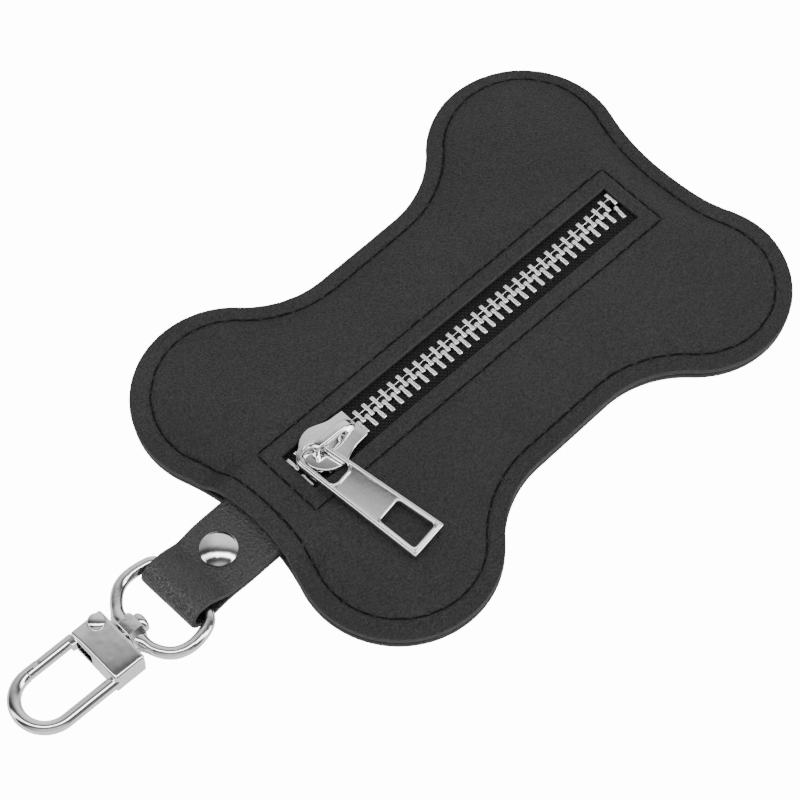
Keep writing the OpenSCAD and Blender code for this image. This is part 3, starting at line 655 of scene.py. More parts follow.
def band(a, b, flip=False):
    """Quads between two closed rows of N_P points, a and b being their first points."""
    i = np.arange(N_P)
    j = (i + 1) % N_P
    return [(a + x, b + x, b + y, a + y) if flip else (a + x, a + y, b + y, b + x) for x, y in zip(i, j)]


def leather_front():
    """The front panel, and its upper surface's points for the stitches to lie on."""
    rings, edge = [], outline(0)
    for d in (0.0, 0.35, 0.9, 1.7, 2.3, 2.7, 2.95, 3.15, 3.3):
        t = d / SEAM_IN
        rings.append((edge * (1 - t) + SEAM * t, LEATHER + LIP * (1 - t) ** 1.6))
    rings.append((SEAM, LEATHER))
    for t in (0.012, 0.026, 0.045, 0.07, 0.1, 0.14, 0.19, 0.25, 0.32, 0.39, 0.46, 0.53, 0.6, 0.66, 0.72,
              0.78, 0.83, 0.87, 0.91, 0.94, 0.97, 1.0):
        rings.append((SEAM * (1 - t) + DECK * t, float(dome(t))))
    for t in (0.12, 0.22, 0.3, 0.34, 0.38, 0.42, 0.5, 0.62, 0.75, 0.88, 0.95, 1.0):
        rings.append((DECK * (1 - t) + SLOT * t, LEATHER_Z))
    p = np.vstack([r[0] for r in rings])
    zb0 = np.concatenate([np.full(N_P, r[1]) for r in rings])
    # the panel rides softly over the strap
    over = LEATHER + STACK * over_strap(p)
    low = (zb0 + over + np.sqrt((zb0 - over) ** 2 + 0.5)) / 2 - 0.14 * (over > LEATHER)
    low = np.maximum(np.maximum(low, over), zb0)
    # it is drawn in along the seams and at each hole, and uneven between them
    dseam = near(resample(SEAM, 0.35)[1](np.arange(0, 400, 0.35)), p)
    dframe = frame_dist(p)
    holes = [q for st in SEAM_STITCHES for q in st[:2]] + [q for st in FRAME_STITCHES for q in st]
    dhole = near(holes, p)
    top = low + LEATHER
    top = top - 0.2 * np.exp(-(dseam / 0.3) ** 2) - 0.08 * np.exp(-(dseam / 1.6) ** 2)
    top = top - 0.2 * np.exp(-(dframe / 0.3) ** 2) - 0.07 * np.exp(-(dframe / 1.5) ** 2)
    top = top - 0.34 * np.exp(-(dhole / 0.3) ** 2)
    calm = np.clip(dseam / 6, 0, 1) * np.clip(dframe / 4, 0, 1)
    top = top + calm * (0.32 * waviness(p, 15, 3.1) + 0.12 * waviness(p, 6, 9.7))
    base = len(rings) * N_P
    V = [np.column_stack([p, top]), np.column_stack([p, low])]
    quads, ids = [], []
    for first, flip in ((0, False), (base, True)):
        for r in range(len(rings) - 1):
            quads += band(first + r * N_P, first + (r + 1) * N_P, flip)
            ids += [0] * N_P
    # outer wall: slightly rounded and fuzzy
    fuzz = np.array([noise.noise(Vector((x / 1.2, y / 1.2, 5))) for x, y in edge])
    for f, out in ((0.93, 0.10), (0.75, 0.16), (0.4, 0.15), (0.1, 0.08)):
        q = outline(-out)
        n = (q - edge) / np.maximum(np.linalg.norm(q - edge, axis=1), 1e-9)[:, None]
        q = q + n * (0.05 * fuzz)[:, None]
        V.append(np.column_stack([q, low[:N_P] + (top[:N_P] - low[:N_P]) * f]))
    # inner wall at the slot
    o = base - N_P
    for f, out in ((0.9, 0.12), (0.6, 0.16), (0.2, 0.1)):
        c = turned(loop4(quarter_rect(SLOT_X - out, SLOT_Y - out)))
        V.append(np.column_stack([c, low[o:base] + (top[o:base] - low[o:base]) * f]))
    outer = [0] + [2 * base + k * N_P for k in range(4)] + [base]
    inner = [o] + [2 * base + k * N_P for k in range(4, 7)] + [base + o]
    for chain, flip in ((outer, True), (inner, False)):
        for a, b in zip(chain[:-1], chain[1:]):
            quads += band(a, b, flip)
            ids += [1] * N_P
    V = settled(np.vstack(V))
    return build("leather_front_panel", V, quads, [LEATHER_MAT, EDGE_MAT], ids, sharp=50), V[:base]


def leather_back():
    k = np.arange(N_P)
    ripple = np.column_stack([0.12 * np.sin(k / 37.0), 0.10 * np.cos(k / 51.0)])
    prof = [(8, 0.0), (0.35, 0.0), (0.1, 0.08), (0.0, 0.35), (0.0, 0.9), (0.08, 1.18), (0.3, 1.3), (8, 1.3)]
    rows = [np.column_stack([outline(d) + ripple, np.full(N_P, z)]) for d, z in prof]
    quads, ids = [], []
    for r in range(len(prof) - 1):
        quads += band(r * N_P, (r + 1) * N_P)
        ids += [1 if 1 <= r <= 5 else 0] * N_P
    # the two faces run on inwards to a middle line
    faces, last = (rows[0], rows[-1]), [0, (len(prof) - 1) * N_P]
    steps, line_x = 8, 32
    for t in (k / steps for k in range(1, steps + 1)):
        for which, face in enumerate(faces):
            q = face.copy()
            q[:, 0] = face[:, 0] * (1 - t) + np.clip(face[:, 0], -line_x, line_x) * t
            q[:, 1] = face[:, 1] * (1 - t)
            new = len(rows) * N_P
            rows.append(q)
            quads += band(last[which], new, flip=which == 0)
            ids += [0] * N_P
            last[which] = new
    ob = build("leather_back_panel", settled(np.vstack(rows)), quads, [LEATHER_BACK, EDGE_MAT], ids, sharp=50)
    bm = bmesh.new()
    bm.from_mesh(ob.data)
    bmesh.ops.remove_doubles(bm, verts=bm.verts, dist=0.00002)
    bmesh.ops.dissolve_degenerate(bm, edges=bm.edges, dist=0.00001)
    bm.to_mesh(ob.data)
    bm.free()
    return ob


def stitches(name, rows, ground):
    """Each row is the stitch's plan points; the thread dives into the leather at both ends."""
    kd = plan_tree(ground)

    def height(x, y):
        found = kd.find_n((x, y, 0), 3)
        w = [1 / (d + 0.02) for _, _, d in found]
        return sum(ground[i][2] * q for (_, i, _), q in zip(found, w)) / sum(w)
    parts = []
    for row in rows:
        row = [settled(q) for q in row]
        a, b = row[0], row[-1]
        m = row[1] if len(row) == 3 else (a + b) / 2
        bow = 2 * m - (a + b) / 2
        lean = rng.normal(0, 0.05, 2)
        pts, rad = [], []
        for t in np.linspace(0, 1, 9):
            p = (1 - t) ** 2 * a + 2 * t * (1 - t) * bow + t * t * b + lean * math.sin(math.pi * t)
            lift = -0.30 + 0.32 * math.sin(math.pi * t) ** 0.22 if 0 < t < 1 else -0.4
            pts.append([p[0], p[1], height(p[0], p[1]) + lift + rng.normal(0, 0.01)])
            rad.append(THREAD_R * (0.62 + 0.1 * math.sin(math.pi * t)))
        parts.append(tube(pts, rad, seg=8))
    v, f = merge(parts)
    return build(name, v, f, THREAD_MAT, sharp=70)


# ---------------------------------------------------------------- zipper
THROAT, MOUTH = SL - 3, SL - NOSE_AT - 2.4


def parting(x):
    x = np.asarray(x, float)
    a = 1.5 * smooth((THROAT - x) / (THROAT - MOUTH))
    b = 1.5 + (1.1 - 1.5) * smooth((MOUTH - x) / (MOUTH + SLOT_X))
    return np.where(x >= MOUTH, a, b)


def drift(x, side):
    """How far the chain has strayed from the middle at its far end."""
    x = np.asarray(x, float)
    return 0.45 * smooth((x - 22) / 24) + (0.8 * smooth((x - 37) / 8) if side > 0 else 0)


def tape(side):
    xs = np.linspace(-SLOT_X - 1, SLOT_X + 1, 230)
    us = np.array([0, 0.02, 0.05, 0.1, 0.2, 0.32, 0.45, 0.6, 0.75, 0.9, 1.0])
    inner = HEAD + 0.08 + parting(xs)
    rows = []
    for k, u in enumerate(us):
        y = inner + (TAPE_Y - inner) * u + side * drift(xs, side) * (1 - u)
        z = 0.02 * np.sin(xs * 2.1 + k)
        rows.append(np.column_stack([xs, side * y, z]))
    top = np.vstack(rows)
    top[:, 2] += ZIP_Z + TAPE_T / 2 - 0.02
    low = np.vstack(rows)
    low[:, 2] += ZIP_Z - TAPE_T / 2
    f, _ = sheet(len(us), len(xs))
    return turned(np.vstack([top, low])), f


def tooth_outline():
    w = TOOTH_W / 2
    right = [(w * 0.62, -HEAD), (w * 0.95, -HEAD + 0.16), (w, -0.1), (w * 0.98, 0.22), (w * 0.72, 0.48),
             (w * 0.68, 0.75), (w * 0.84, 1.05), (w * 0.9, 1.6), (w * 0.94, 2.4), (w * 0.9, 2.66),
             (w * 0.7, REACH)]
    return np.array(right + [(-x, y) for x, y in right[::-1]])


def teeth(side):
    first = -SLOT_X + 1.2 + (0 if side > 0 else TOOTH_PITCH / 2)
    n = int((SLOT_X - 0.7 - first) // TOOTH_PITCH)
    base_v, base_f = slab([tooth_outline()], -TOOTH_T / 2, TOOTH_T / 2, 0.27, steps=4, low=0.1)
    # the jaw stands lower at the head than at the leg's middle
    base_v[:, 2] *= 1 - 0.10 * smooth((0.5 - base_v[:, 1]) / 0.9) - 0.06 * smooth((base_v[:, 1] - 2.2) / 0.5)
    lug_end = -TOOTH_PITCH + 0.55
    lug = np.array([(-0.16, 1.42), (-0.16, 1.68), (lug_end, 1.66), (lug_end, 1.44)])
    lug_v, lug_f = slab([lug], -0.35, 0.55, 0.1, steps=2)
    parts = []
    for k in range(0 if side > 0 else -1, n + 1):
        x = first + k * TOOTH_PITCH
        if x < MOUTH:
            x += -0.3 if side > 0 else 0.45
        lean = side * math.atan(float(parting(x + 0.5) - parting(x - 0.5))) + rng.normal(0, 0.012)
        shift = float(drift(x, side))
        x += 0.4 * float(smooth((x - 22) / 24))
        if k == n and side < 0:
            lean, x, shift = lean - 0.15, x + 0.25, shift - 0.5
        c, s = math.cos(lean), math.sin(lean)
        pieces = [(base_v, base_f)]
        if side > 0 and k > 0 and x > THROAT:
            pieces.append((lug_v, lug_f))
        for v, f in pieces:
            v = v.copy()
            v[:, 1] *= side
            q = v.copy()
            q[:, 0] = x + c * v[:, 0] - s * v[:, 1] + rng.normal(0, 0.02)
            q[:, 1] = side * float(parting(x)) + s * v[:, 0] + c * v[:, 1] + shift
            q[:, 2] = ZIP_Z + v[:, 2]
            parts.append((turned(q), f if side > 0 else [t[::-1] for t in f]))
    return parts


def halves(v, f):
    """Faces whose middle is at -X and at +X."""
    out = []
    for sign in (-1, 1):
        keep = [t for t in f if sign * (np.mean([v[i][0] for i in t]) + 1e-6) > 0]
        used = sorted({i for t in keep for i in t})
        at = {i: k for k, i in enumerate(used)}
        out.append((v[used], [tuple(at[i] for i in t) for t in keep]))
    return out


# ---------------------------------------------------------------- slider, crown and pull
def slider_half(u):
    return TAIL + (NOSE_R - TAIL) * (0.36 * u / NOSE_AT + 0.64 * smooth((u - 3.1) / (NOSE_AT - 3.1)))


def slider_outline(inset=0.0):
    u = np.arange(0, NOSE_AT - 0.1, 0.35)
    a = np.radians(np.arange(90, 180, 7.5))
    s = np.vstack([np.column_stack([SL - np.maximum(u, inset), slider_half(u) - inset]),
                   [SL - NOSE_AT, 0] + (NOSE_R - inset) * np.column_stack([np.cos(a), np.sin(a)])])
    tip = [[SL - NOSE_AT - NOSE_R + inset, 0]]
    return np.vstack([s, tip, s[::-1] * [1, -1]])


def slider_parts():
    chan = TOOTH_T + 0.3
    parts = [slab([slider_outline()], RIM_Z, PLATE_Z, 0.28, steps=4, low=0.15)]
    parts.append(slab([slider_outline(0.65)], ZIP_Z + chan / 2, RIM_Z + 0.1, 0.05, steps=1))
    parts.append(slab([slider_outline(0.65)], ZIP_Z - chan / 2 - 0.9, ZIP_Z - chan / 2, 0.15, steps=2))
    cutx = SL - NOSE_AT - 0.8
    o, i = slider_outline(0.65), slider_outline(0.65 + 0.38)
    a = np.array([p for p in o[:len(o) // 2] if cutx < p[0] < SL - 0.7])
    b = np.array([p for p in i[:len(i) // 2] if cutx < p[0] < SL - 0.7])
    for z0, z1 in ((ZIP_Z + TAPE_T / 2 + 0.25, ZIP_Z + chan / 2 + 0.02),
                   (ZIP_Z - chan / 2 - 0.02, ZIP_Z - TAPE_T / 2 - 0.25)):
        for s in (1, -1):
            parts.append(slab([np.vstack([a, b[::-1]]) * [1, s]], z0, z1, 0.04, steps=1))
    x = SL - NOSE_AT
    wedge = np.array([(x - 4.4, 0.6), (x - 0.6, 0.42), (x + 0.4, 0.15), (x + 0.4, -0.15), (x - 0.6, -0.42),
                      (x - 4.4, -0.6)])
    parts.append(slab([wedge], ZIP_Z - chan / 2 - 0.02, ZIP_Z + chan / 2 + 0.02, 0.05, steps=1))
    v, f = merge(parts)
    return turned(v), f


PULL_SLOPE, PULL_TURN = math.radians(4), math.radians(-82.2)
PULL_LEN, PULL_W, PULL_T, EYE_W, EYE_BAR, EYE_LEN = 31.4, 8.8, 1.4, 7, 1.15, 9.2
WINDOW_LEN, WINDOW_RIM, RING_BACK, PULL_OFF = 8.5, 1.3, 3.0, 1.1
PIVOT_X = SL - 10.3
PULL_Z = PLATE_Z + 0.15 + NOSE_R * math.tan(PULL_SLOPE)
CROWN_W, CROWN_T = 1.8, 1.0
CROWN_IN = PULL_Z + PULL_T / math.cos(PULL_SLOPE) + CROWN_W / 2 * math.tan(PULL_SLOPE) + 0.25
CROWN_TOP = CROWN_IN + CROWN_T


def crown_parts():
    back, front = SL - 0.5, PIVOT_X - 0.55
    outer = [(back, PLATE_Z - 0.2), (back - 0.1, PLATE_Z + 0.8), (back - 0.6, PLATE_Z + 1.5),
             (back - 1.2, CROWN_TOP - 1), (back - 2.0, CROWN_TOP - 0.5), (back - 2.9, CROWN_TOP - 0.15),
             (back - 4.6, CROWN_TOP), (front + 2.6, CROWN_TOP), (front + 1.3, CROWN_TOP - 0.02),
             (front + 0.45, CROWN_TOP - 0.3), (front + 0.1, CROWN_TOP - 0.7), (front, CROWN_TOP - 1.2),
             (front, PLATE_Z - 0.2)]
    inner = [(back - 2.2, PLATE_Z - 0.2), (back - 2.3, PLATE_Z + 0.5), (back - 3.1, CROWN_IN - 0.4),
             (back - 4, CROWN_IN), (front + 1.35, CROWN_IN), (front + 1.1, CROWN_IN - 0.25),
             (front + 1.1, PLATE_Z - 0.2)]
    loop = np.array(outer + inner[::-1])
    v, f = slab([loop], -CROWN_W / 2, CROWN_W / 2, 0.42, steps=5, low=0.42)
    q = np.column_stack([v[:, 0], -v[:, 2], v[:, 1]])
    return turned(q), f


def refine(l, step):
    """A closed line with points about a step apart."""
    out = []
    for a, b in zip(l, np.roll(l, -1, 0)):
        n = max(1, int(np.linalg.norm(b - a) / step))
        out += [a + (b - a) * k / n for k in range(n)]
    return np.array(out)


def pull_parts():
    er, ln = EYE_W / 2, PULL_LEN
    taper = (PULL_W - EYE_W) / 2 / (ln - er)
    e0, e1 = EYE_BAR, EYE_BAR + EYE_LEN
    w1 = ln - WINDOW_RIM
    w0 = w1 - WINDOW_LEN

    def half(s):
        return er + taper * (s - er)

    def with_side(round_end, side, mid):
        """A loop from its round end and the points of one side up to the middle of its square end."""
        up = np.array(side) * [1, -1]
        return np.vstack([round_end, side, [(mid, 0)], up[::-1]])

    a = np.radians(np.arange(90, 271, 7.5))
    outer = with_side(np.column_stack([er + er * np.cos(a), er * np.sin(a)]),
                      [(6, -half(6)), (12, -half(12)), (20, -half(20)), (ln - 0.35, -half(ln)),
                       (ln - 0.08, -half(ln) + 0.1), (ln, -half(ln) + 0.4)], ln)
    ri = er - e0
    eye = with_side(np.column_stack([er + ri * np.cos(a), ri * np.sin(a)]),
                    [(6, -half(6) + e0), (e1 - 1.0, -half(e1) + e0), (e1 - 0.35, -half(e1) + e0 + 0.3),
                     (e1, -half(e1) + e0 + 1.0)], e1)

    c, y0, y1 = 0.5, half(w0) - WINDOW_RIM, half(w1) - WINDOW_RIM
    window = []
    for x, y, sx, sy in ((w0, -y0, 1, 1), (w1, -y1, -1, 1), (w1, y1, -1, -1), (w0, y0, 1, -1)):
        k = [(x, y + sy * c), (x + sx * c * 0.3, y + sy * c * 0.3), (x + sx * c, y)]
        window += k if sx * sy > 0 else k[::-1]
    window = np.array(window)

    def dish(q):
        """The web between the eye and the window is a shallow bowl."""
        web = (q[:, 2] > 1.15) & (q[:, 0] > e1 + 0.1) & (q[:, 0] < w0 - 0.1) & (np.abs(q[:, 1]) < 3.2)
        mid = (e1 + w0) / 2
        deep = 0.26 - 0.14 * (q[:, 1] / 3.4) ** 2 - 0.12 * ((q[:, 0] - mid) / (w0 - mid)) ** 2
        return -np.where(web, np.maximum(deep, 0), 0)

    v, f = slab([outer, eye, window], 0, 1.22, 0.3, steps=3, low=0.22)
    parts = [dished(v, f, np.linspace(e1 + 0.2, w0 - 0.2, 16), np.linspace(-3.1, 3.1, 13), dish)]
    for loop, inset, r in ((outer, 0.66, 0.3), (eye, 0.34, 0.33), (window, 0.36, 0.34)):
        l = loop if area2(loop) > 0 else loop[::-1]
        l = offset_loop(l, inset if loop is outer else -inset)
        l = refine(l, 0.5)
        path = np.column_stack([l, np.full(len(l), PULL_T - r)])
        parts.append(tube(path, r, closed=True, seg=14))
    v, f = merge(parts)
    # place: turned about the pivot, then sloped with the zipper
    v = v + [-RING_BACK, -PULL_OFF, 0]
    c, s = math.cos(PULL_TURN), math.sin(PULL_TURN)
    q = np.column_stack([v[:, 0] * c - v[:, 1] * s, v[:, 0] * s + v[:, 1] * c, v[:, 2]])
    c, s = math.cos(PULL_SLOPE), math.sin(PULL_SLOPE)
    q = np.column_stack([q[:, 0] + PIVOT_X, q[:, 1] * c - q[:, 2] * s, q[:, 1] * s + q[:, 2] * c + PULL_Z])
    return turned(q), f


# ---------------------------------------------------------------- strap and rivet
LOW_Z = LEATHER + STRAP_T / 2
HIGH_Z = LOW_Z + STRAP_T + 0.04
FOLD_R, FOLD_X, FLAT_X = WIRE_R + 0.7 + STRAP_T / 2, BAR_X - 1.2, RIVET_X - CAP_R


def strap_line():
    """Middle of the strap's leather from its lower end round the fold to its upper end."""
    pts = [(x, LOW_Z) for x in np.linspace(STRAP_END, FLAT_X, 22)[:-1]]
    for t in np.linspace(0, 1, 12)[:-1]:
        pts.append((FLAT_X + (BAR_X - FLAT_X) * t, LOW_Z + (AXIS_Z - FOLD_R - LOW_Z) * float(smooth(t))))
    pts.append((BAR_X, AXIS_Z - FOLD_R))
    for a in np.radians(np.linspace(-90, -270, 22)):
        pts.append((FOLD_X + FOLD_R * math.cos(a), AXIS_Z + FOLD_R * math.sin(a)))
    for t in np.linspace(0, 1, 12)[:-1]:
        z = AXIS_Z + FOLD_R + (HIGH_Z - AXIS_Z - FOLD_R) * float(smooth(t))
        pts.append((BAR_X + (FLAT_X - BAR_X) * t, z))
    pts += [(x, HIGH_Z) for x in np.linspace(FLAT_X, STRAP_END, 22)]
    return np.array(pts)


def strap_parts():
    line = strap_line()
    n = len(line)
    t = np.gradient(line, axis=0)
    t /= np.linalg.norm(t, axis=1)[:, None]
    nrm = np.column_stack([t[:, 1], -t[:, 0]])
    vs = np.array([-1, -0.985, -0.95, -0.85, -0.7, -0.55, -0.4, -0.25, -0.1, 0.05, 0.2, 0.35, 0.5, 0.65, 0.8,
                   0.92, 0.98, 1])
    top, low = [], []
    w = STRAP_W / 2
    for i in range(n):
        x = line[i, 0]
        k = float(np.clip((RIVET_X - x) / (RIVET_X - BAR_X), 0, 1))
        y0, y1 = STRAP_Y - w + 0.45 * k, STRAP_Y + w - 1.05 * k
        upper = i > n * 0.5
        for v in vs:
            y = (y0 + y1) / 2 + v * (y1 - y0) / 2
            edge = abs(v)
            thin = 0.10 * smooth((edge - 0.94) / 0.06)
            fold = math.exp(-((x + 78.6) / 3.2) ** 2)
            wr = noise.noise(Vector((x / 1.1, y / 5.0, 1.7 if upper else 8.1))) * 0.14 * fold
            wr += noise.noise(Vector((x / 5.0, y / 6.0, 4.2))) * 0.05 * (1 - edge ** 4)
            half = STRAP_T / 2
            out = line[i] - nrm[i] * (half - thin + (wr if upper or fold > 0.3 else 0))
            inn = line[i] + nrm[i] * (half - thin)
            top.append((out[0], y, out[1]))
            low.append((inn[0], y, inn[1]))
    return (np.vstack([top, low]), *sheet(n, len(vs)))


def rivet_cap_parts():
    z = HIGH_Z + STRAP_T / 2
    post_r = 1.3
    prof = [(0, z - STRAP_T), (post_r, z - STRAP_T), (post_r, z - 0.02), (CAP_R - 0.35, z - 0.02),
            (CAP_R - 0.06, z + 0.05), (CAP_R, z + 0.2), (CAP_R - 0.04, z + 0.34)]
    rim = CAP_R * 0.985
    ball = (rim ** 2 + (CAP_H - 0.34) ** 2) / (2 * (CAP_H - 0.34))
    for r in rim * np.linspace(0.99, 0.06, 16):
        prof.append((r, z + CAP_H - ball + math.sqrt(ball ** 2 - r ** 2)))
    prof.append((0, z + CAP_H))
    v, f = lathe(prof, 64)
    return v + [RIVET_X, RIVET_Y, 0], f


# ---------------------------------------------------------------- D ring with its boss
# the wire's middle line in the hook's own axes: the bar inside the fold, then round by way of the boss
RING_KNOTS = [(BAR_X, -5.4), (BAR_X, -2.0), (BAR_X, 2.2), (BAR_X, 6.3), (-76.6, 7.5), (-77.3, 8.25),
              (-78.5, 8.65), (-79.9, 8.9), (-81.6, 9.05), (-83.2, 8.95), (-84.8, 8.5), (-86.2, 7.6),
              (-87.5, 6.3), (-88.6, 4.7), (-89.4, 2.9), (-89.65, 1.0), (-89.65, -1.0), (-89.45, -3.0),
              (-88.95, -4.85), (-88.2, -6.7), (-87.0, -8.35), (-85.3, -9.5), (-83.0, -10.0), (-80.7, -9.8),
              (-78.6, -9.15), (-77.2, -8.2), (-76.5, -6.9)]


def spline(knots, n=6):
    """A closed smooth line through the knots."""
    k = np.asarray(knots, float)
    a, b, c, d = np.roll(k, 1, 0), k, np.roll(k, -1, 0), np.roll(k, -2, 0)
    t = (np.arange(n) / n)[None, :, None]
    a, b, c, d = (q[:, None, :] for q in (a, b, c, d))
    q = 0.5 * (2 * b + (c - a) * t + (2 * a - 5 * b + 4 * c - d) * t ** 2 + (3 * b - a - 3 * c + d) * t ** 3)
    return q.reshape(-1, k.shape[1])


def ring_parts():
    l = spline(RING_KNOTS)
    p = np.column_stack([l, np.zeros(len(l))])
    flare = np.where(l[:, 0] < -86, smooth((5.3 - np.abs(l[:, 1])) / 2.6), 0)
    return tube(on_axis(p), WIRE_R + 0.04 + 0.5 * flare, closed=True, seg=28)


def boss_parts():
    by, bz, cut_y, side_z, hole_r = 2.75, 2.7, 1.15, 1.3, 1.35
    loop = np.array([(by, side_z), (by - cut_y, bz), (cut_y - by, bz), (-by, side_z), (-by, -side_z),
                     (cut_y - by, -bz), (by - cut_y, -bz), (by, -side_z)])[::-1]
    a = np.linspace(0, 2 * math.pi, 33)[:-1]
    hole = np.column_stack([hole_r * np.cos(a), hole_r * np.sin(a)])
    v, f = slab([loop, hole], 0, BOSS_LEN, 0.22, steps=3)
    q = np.column_stack([BOSS_OUT + v[:, 2], v[:, 0], v[:, 1]])
    return on_axis(q), f


def post_parts():
    x0 = HOUSE_BACK - POST_IN
    h0 = BOSS_OUT + BOSS_LEN + HEAD_GAP
    prof = [(0, x0), (SWIVEL_R, x0), (SWIVEL_R, h0 - 0.01), (1.8, h0), (1.98, h0 + 0.12), (2.0, h0 + 0.3),
            (2.0, h0 + 0.75), (1.9, h0 + 1.05), (1.62, h0 + 1.32), (1.2, h0 + 1.5), (0.6, h0 + 1.59),
            (0, h0 + 1.6)]
    v, f = lathe(prof, 40)
    return on_axis(np.column_stack([v[:, 2], v[:, 0], v[:, 1]])), f


# ---------------------------------------------------------------- hook and gate
def bar_line():
    pts = [(x, -BEND_R) for x in np.linspace(HOUSE_FRONT + 0.6, BEND_X, 16)[:-1]]
    for a in np.linspace(-math.pi / 2, -3 * math.pi / 2, 44):
        pts.append((BEND_X + BEND_R * math.cos(a), BEND_R * math.sin(a)))
    pts += [(x, BEND_R) for x in np.linspace(BEND_X, NOSE_X, 6)[1:]]
    return np.array(pts)


def hook_object():
    lo = (HOUSE_FRONT, -HOUSE_OFF - HOUSE_W / 2, -HOUSE_T / 2)
    hi = (HOUSE_BACK, -HOUSE_OFF + HOUSE_W / 2, HOUSE_T / 2)
    v, f = rounded_box(lo, hi, 0.5, n=22, k=5, crown=0.42)
    house = build("hook_housing", on_axis(v), f, HOUSE_METAL)
    # the gate's pocket, and the recess round the pin's head
    top, slot_low, slot_high, seat_r, seat = HOUSE_T / 2, 0.2, PIN_Y + KNUCKLE_R + 0.1, 1.98, 0.35
    bv, bf = box_vf((HOUSE_FRONT - 1, slot_low, -top + HOUSE_WALL),
                    (HOUSE_BACK - BACK_WALL, slot_high, top - HOUSE_WALL))
    pv, pf = lathe([(0, top - seat), (seat_r, top - seat), (seat_r, top + 1), (0, top + 1)], 40)
    cut(house, [(on_axis(bv), bf), (on_axis(pv + [PIN_X, PIN_Y, 0]), pf)])
    l = bar_line()
    v, f = tube(on_axis(np.column_stack([l, np.zeros(len(l))])), HOOK_R, seg=32)
    bar = build("hook_bar", v, f, NICKEL)
    nv, nf = box_vf((NOTCH_X, BEND_R - 2 * HOOK_R, -2), (NOTCH_X + 5, BEND_R, 2))
    cut(bar, [(on_axis(nv), nf)], bevel=0.22)
    return [house, bar]


def gate_object():
    start = HOUSE_FRONT - 0.15
    line = np.array([(x, BEND_R, 0) for x in np.linspace(start + 0.4, NOTCH_X + 0.2, 14)])
    v, f = tube(on_axis(line), GATE_R, seg=32)
    bar = build("gate_bar", v, f, NICKEL)
    cv, cf = box_vf((NOSE_X + 0.15 - 5, BEND_R - 0.1, -2), (NOSE_X + 0.15, BEND_R + 3, 2))
    cut(bar, [(on_axis(cv), cf)], bevel=0.22)
    tail = HOUSE_T - 2 * HOUSE_WALL - 2 * GATE_GAP
    a = np.linspace(math.pi / 2, -math.pi / 2, 13)
    loop = np.vstack([np.column_stack([PIN_X + KNUCKLE_R * np.cos(a), PIN_Y + KNUCKLE_R * np.sin(a)]),
                      [(start - 0.9, PIN_Y - 0.2), (start - 0.9, PIN_Y + KNUCKLE_R)]])
    v, f = slab([loop], -tail / 2, tail / 2, 0.15, steps=2)
    return [bar, build("gate_tail", on_axis(v), f, NICKEL)]


def pin_parts():
    t = HOUSE_T / 2
    prof = [(0, -t - 0.2), (1.3, -t - 0.2), (1.75, -t), (0.7, -t), (0.7, t - 0.34), (1.72, t - 0.33)]
    for a in np.radians(np.linspace(84, 5, 11)):
        prof.append((1.72 * math.sin(a), t - 0.1 + 0.68 * math.cos(a)))
    prof.append((0, t + 0.58))
    v, f = lathe(prof, 48)
    return on_axis(v + [PIN_X, PIN_Y, 0]), f


# ================================================================ put the pieces together
front, ground = leather_front()
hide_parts("front_panel")
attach(front, "pouch")

back = leather_back()
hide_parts("back_panel")
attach(back, "pouch")

seam = stitches("seam_stitches", [(a, m, b) for a, b, m in SEAM_STITCHES], ground)
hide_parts("perimeter_stitching")
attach(seam, "pouch")
frame_seam = stitches("frame_stitches", FRAME_STITCHES, ground)
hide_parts("frame_stitching")
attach(frame_seam, "pouch")

# each row is sewn down at both ends; here it is cut in two at its middle, a start half and an end half
ROW_ENDS = (("start", -0.0448, -0.018), ("end", 0.0448, 0.006))
for side, row in ((1, "left"), (-1, "right")):
    for kind, mat, (v, f) in (("tape", TAPE_MAT, tape(side)), ("teeth", TEETH_MAT, merge(teeth(side)))):
        for (end, x0, x1), (hv, hf) in zip(ROW_ENDS, halves(v, f)):
            ob = build("zip_%s_%s_%s" % (kind, row, end), hv, hf, mat, sharp=45)
            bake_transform(ob)
            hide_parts(kind + "_" + row)

v, f = slider_parts()
ob = build("slider_plates", v, f, NICKEL, sharp=38)
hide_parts("slider_body")
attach(ob, "slider")
v, f = crown_parts()
ob = build("slider_bridge", v, f, NICKEL, sharp=45)
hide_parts("slider_crown")
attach(ob, "slider")
v, f = pull_parts()
ob = build("pull_plate", v, f, NICKEL, sharp=38)
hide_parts("pull_tab")
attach(ob, "pull")

v, f, ids = strap_parts()
ob = build("leather_strap", v, f, [STRAP_MAT, LEATHER_BACK, EDGE_MAT], ids, sharp=55)
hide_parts("strap")
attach(ob, "pouch")
v, f = rivet_cap_parts()
ob = build("rivet_dome", v, f, NICKEL, sharp=40)
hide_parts("rivet_cap")
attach(ob, "pouch")

v, f = merge([ring_parts(), boss_parts()])
ob = build("d_ring", v, f, CAST, sharp=35)
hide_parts("swivel_ring")
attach(ob, "ring")
v, f = post_parts()
ob = build("swivel_post_turned", v, f, CAST, sharp=35)
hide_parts("swivel_post")
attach(ob, "hook")
for ob in hook_object():
    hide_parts("hook_body")
    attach(ob, "hook")
for ob in gate_object():
    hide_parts("gate")
    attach(ob, "gate")
v, f = pin_parts()
ob = build("gate_pin_domed", v, f, NICKEL, sharp=40)
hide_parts("gate_pin")
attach(ob, "hook")

for name, mat in (("rivet_back", NICKEL), ("gate_spring", SPRING_MAT)):
    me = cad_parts[name].data
    me.materials.clear()
    me.materials.append(mat)

# ---------------------------------------------------------------- floor, light and camera
fm, nt, b = material("floor")
b.inputs["Base Color"].default_value = (0.3, 0.3, 0.3, 1)
b.inputs["Roughness"].default_value = 1.0
b.inputs["Specular IOR Level"].default_value = 0.0
b.inputs["Emission Color"].default_value = (1, 1, 1, 1)
b.inputs["Emission Strength"].default_value = 0.75
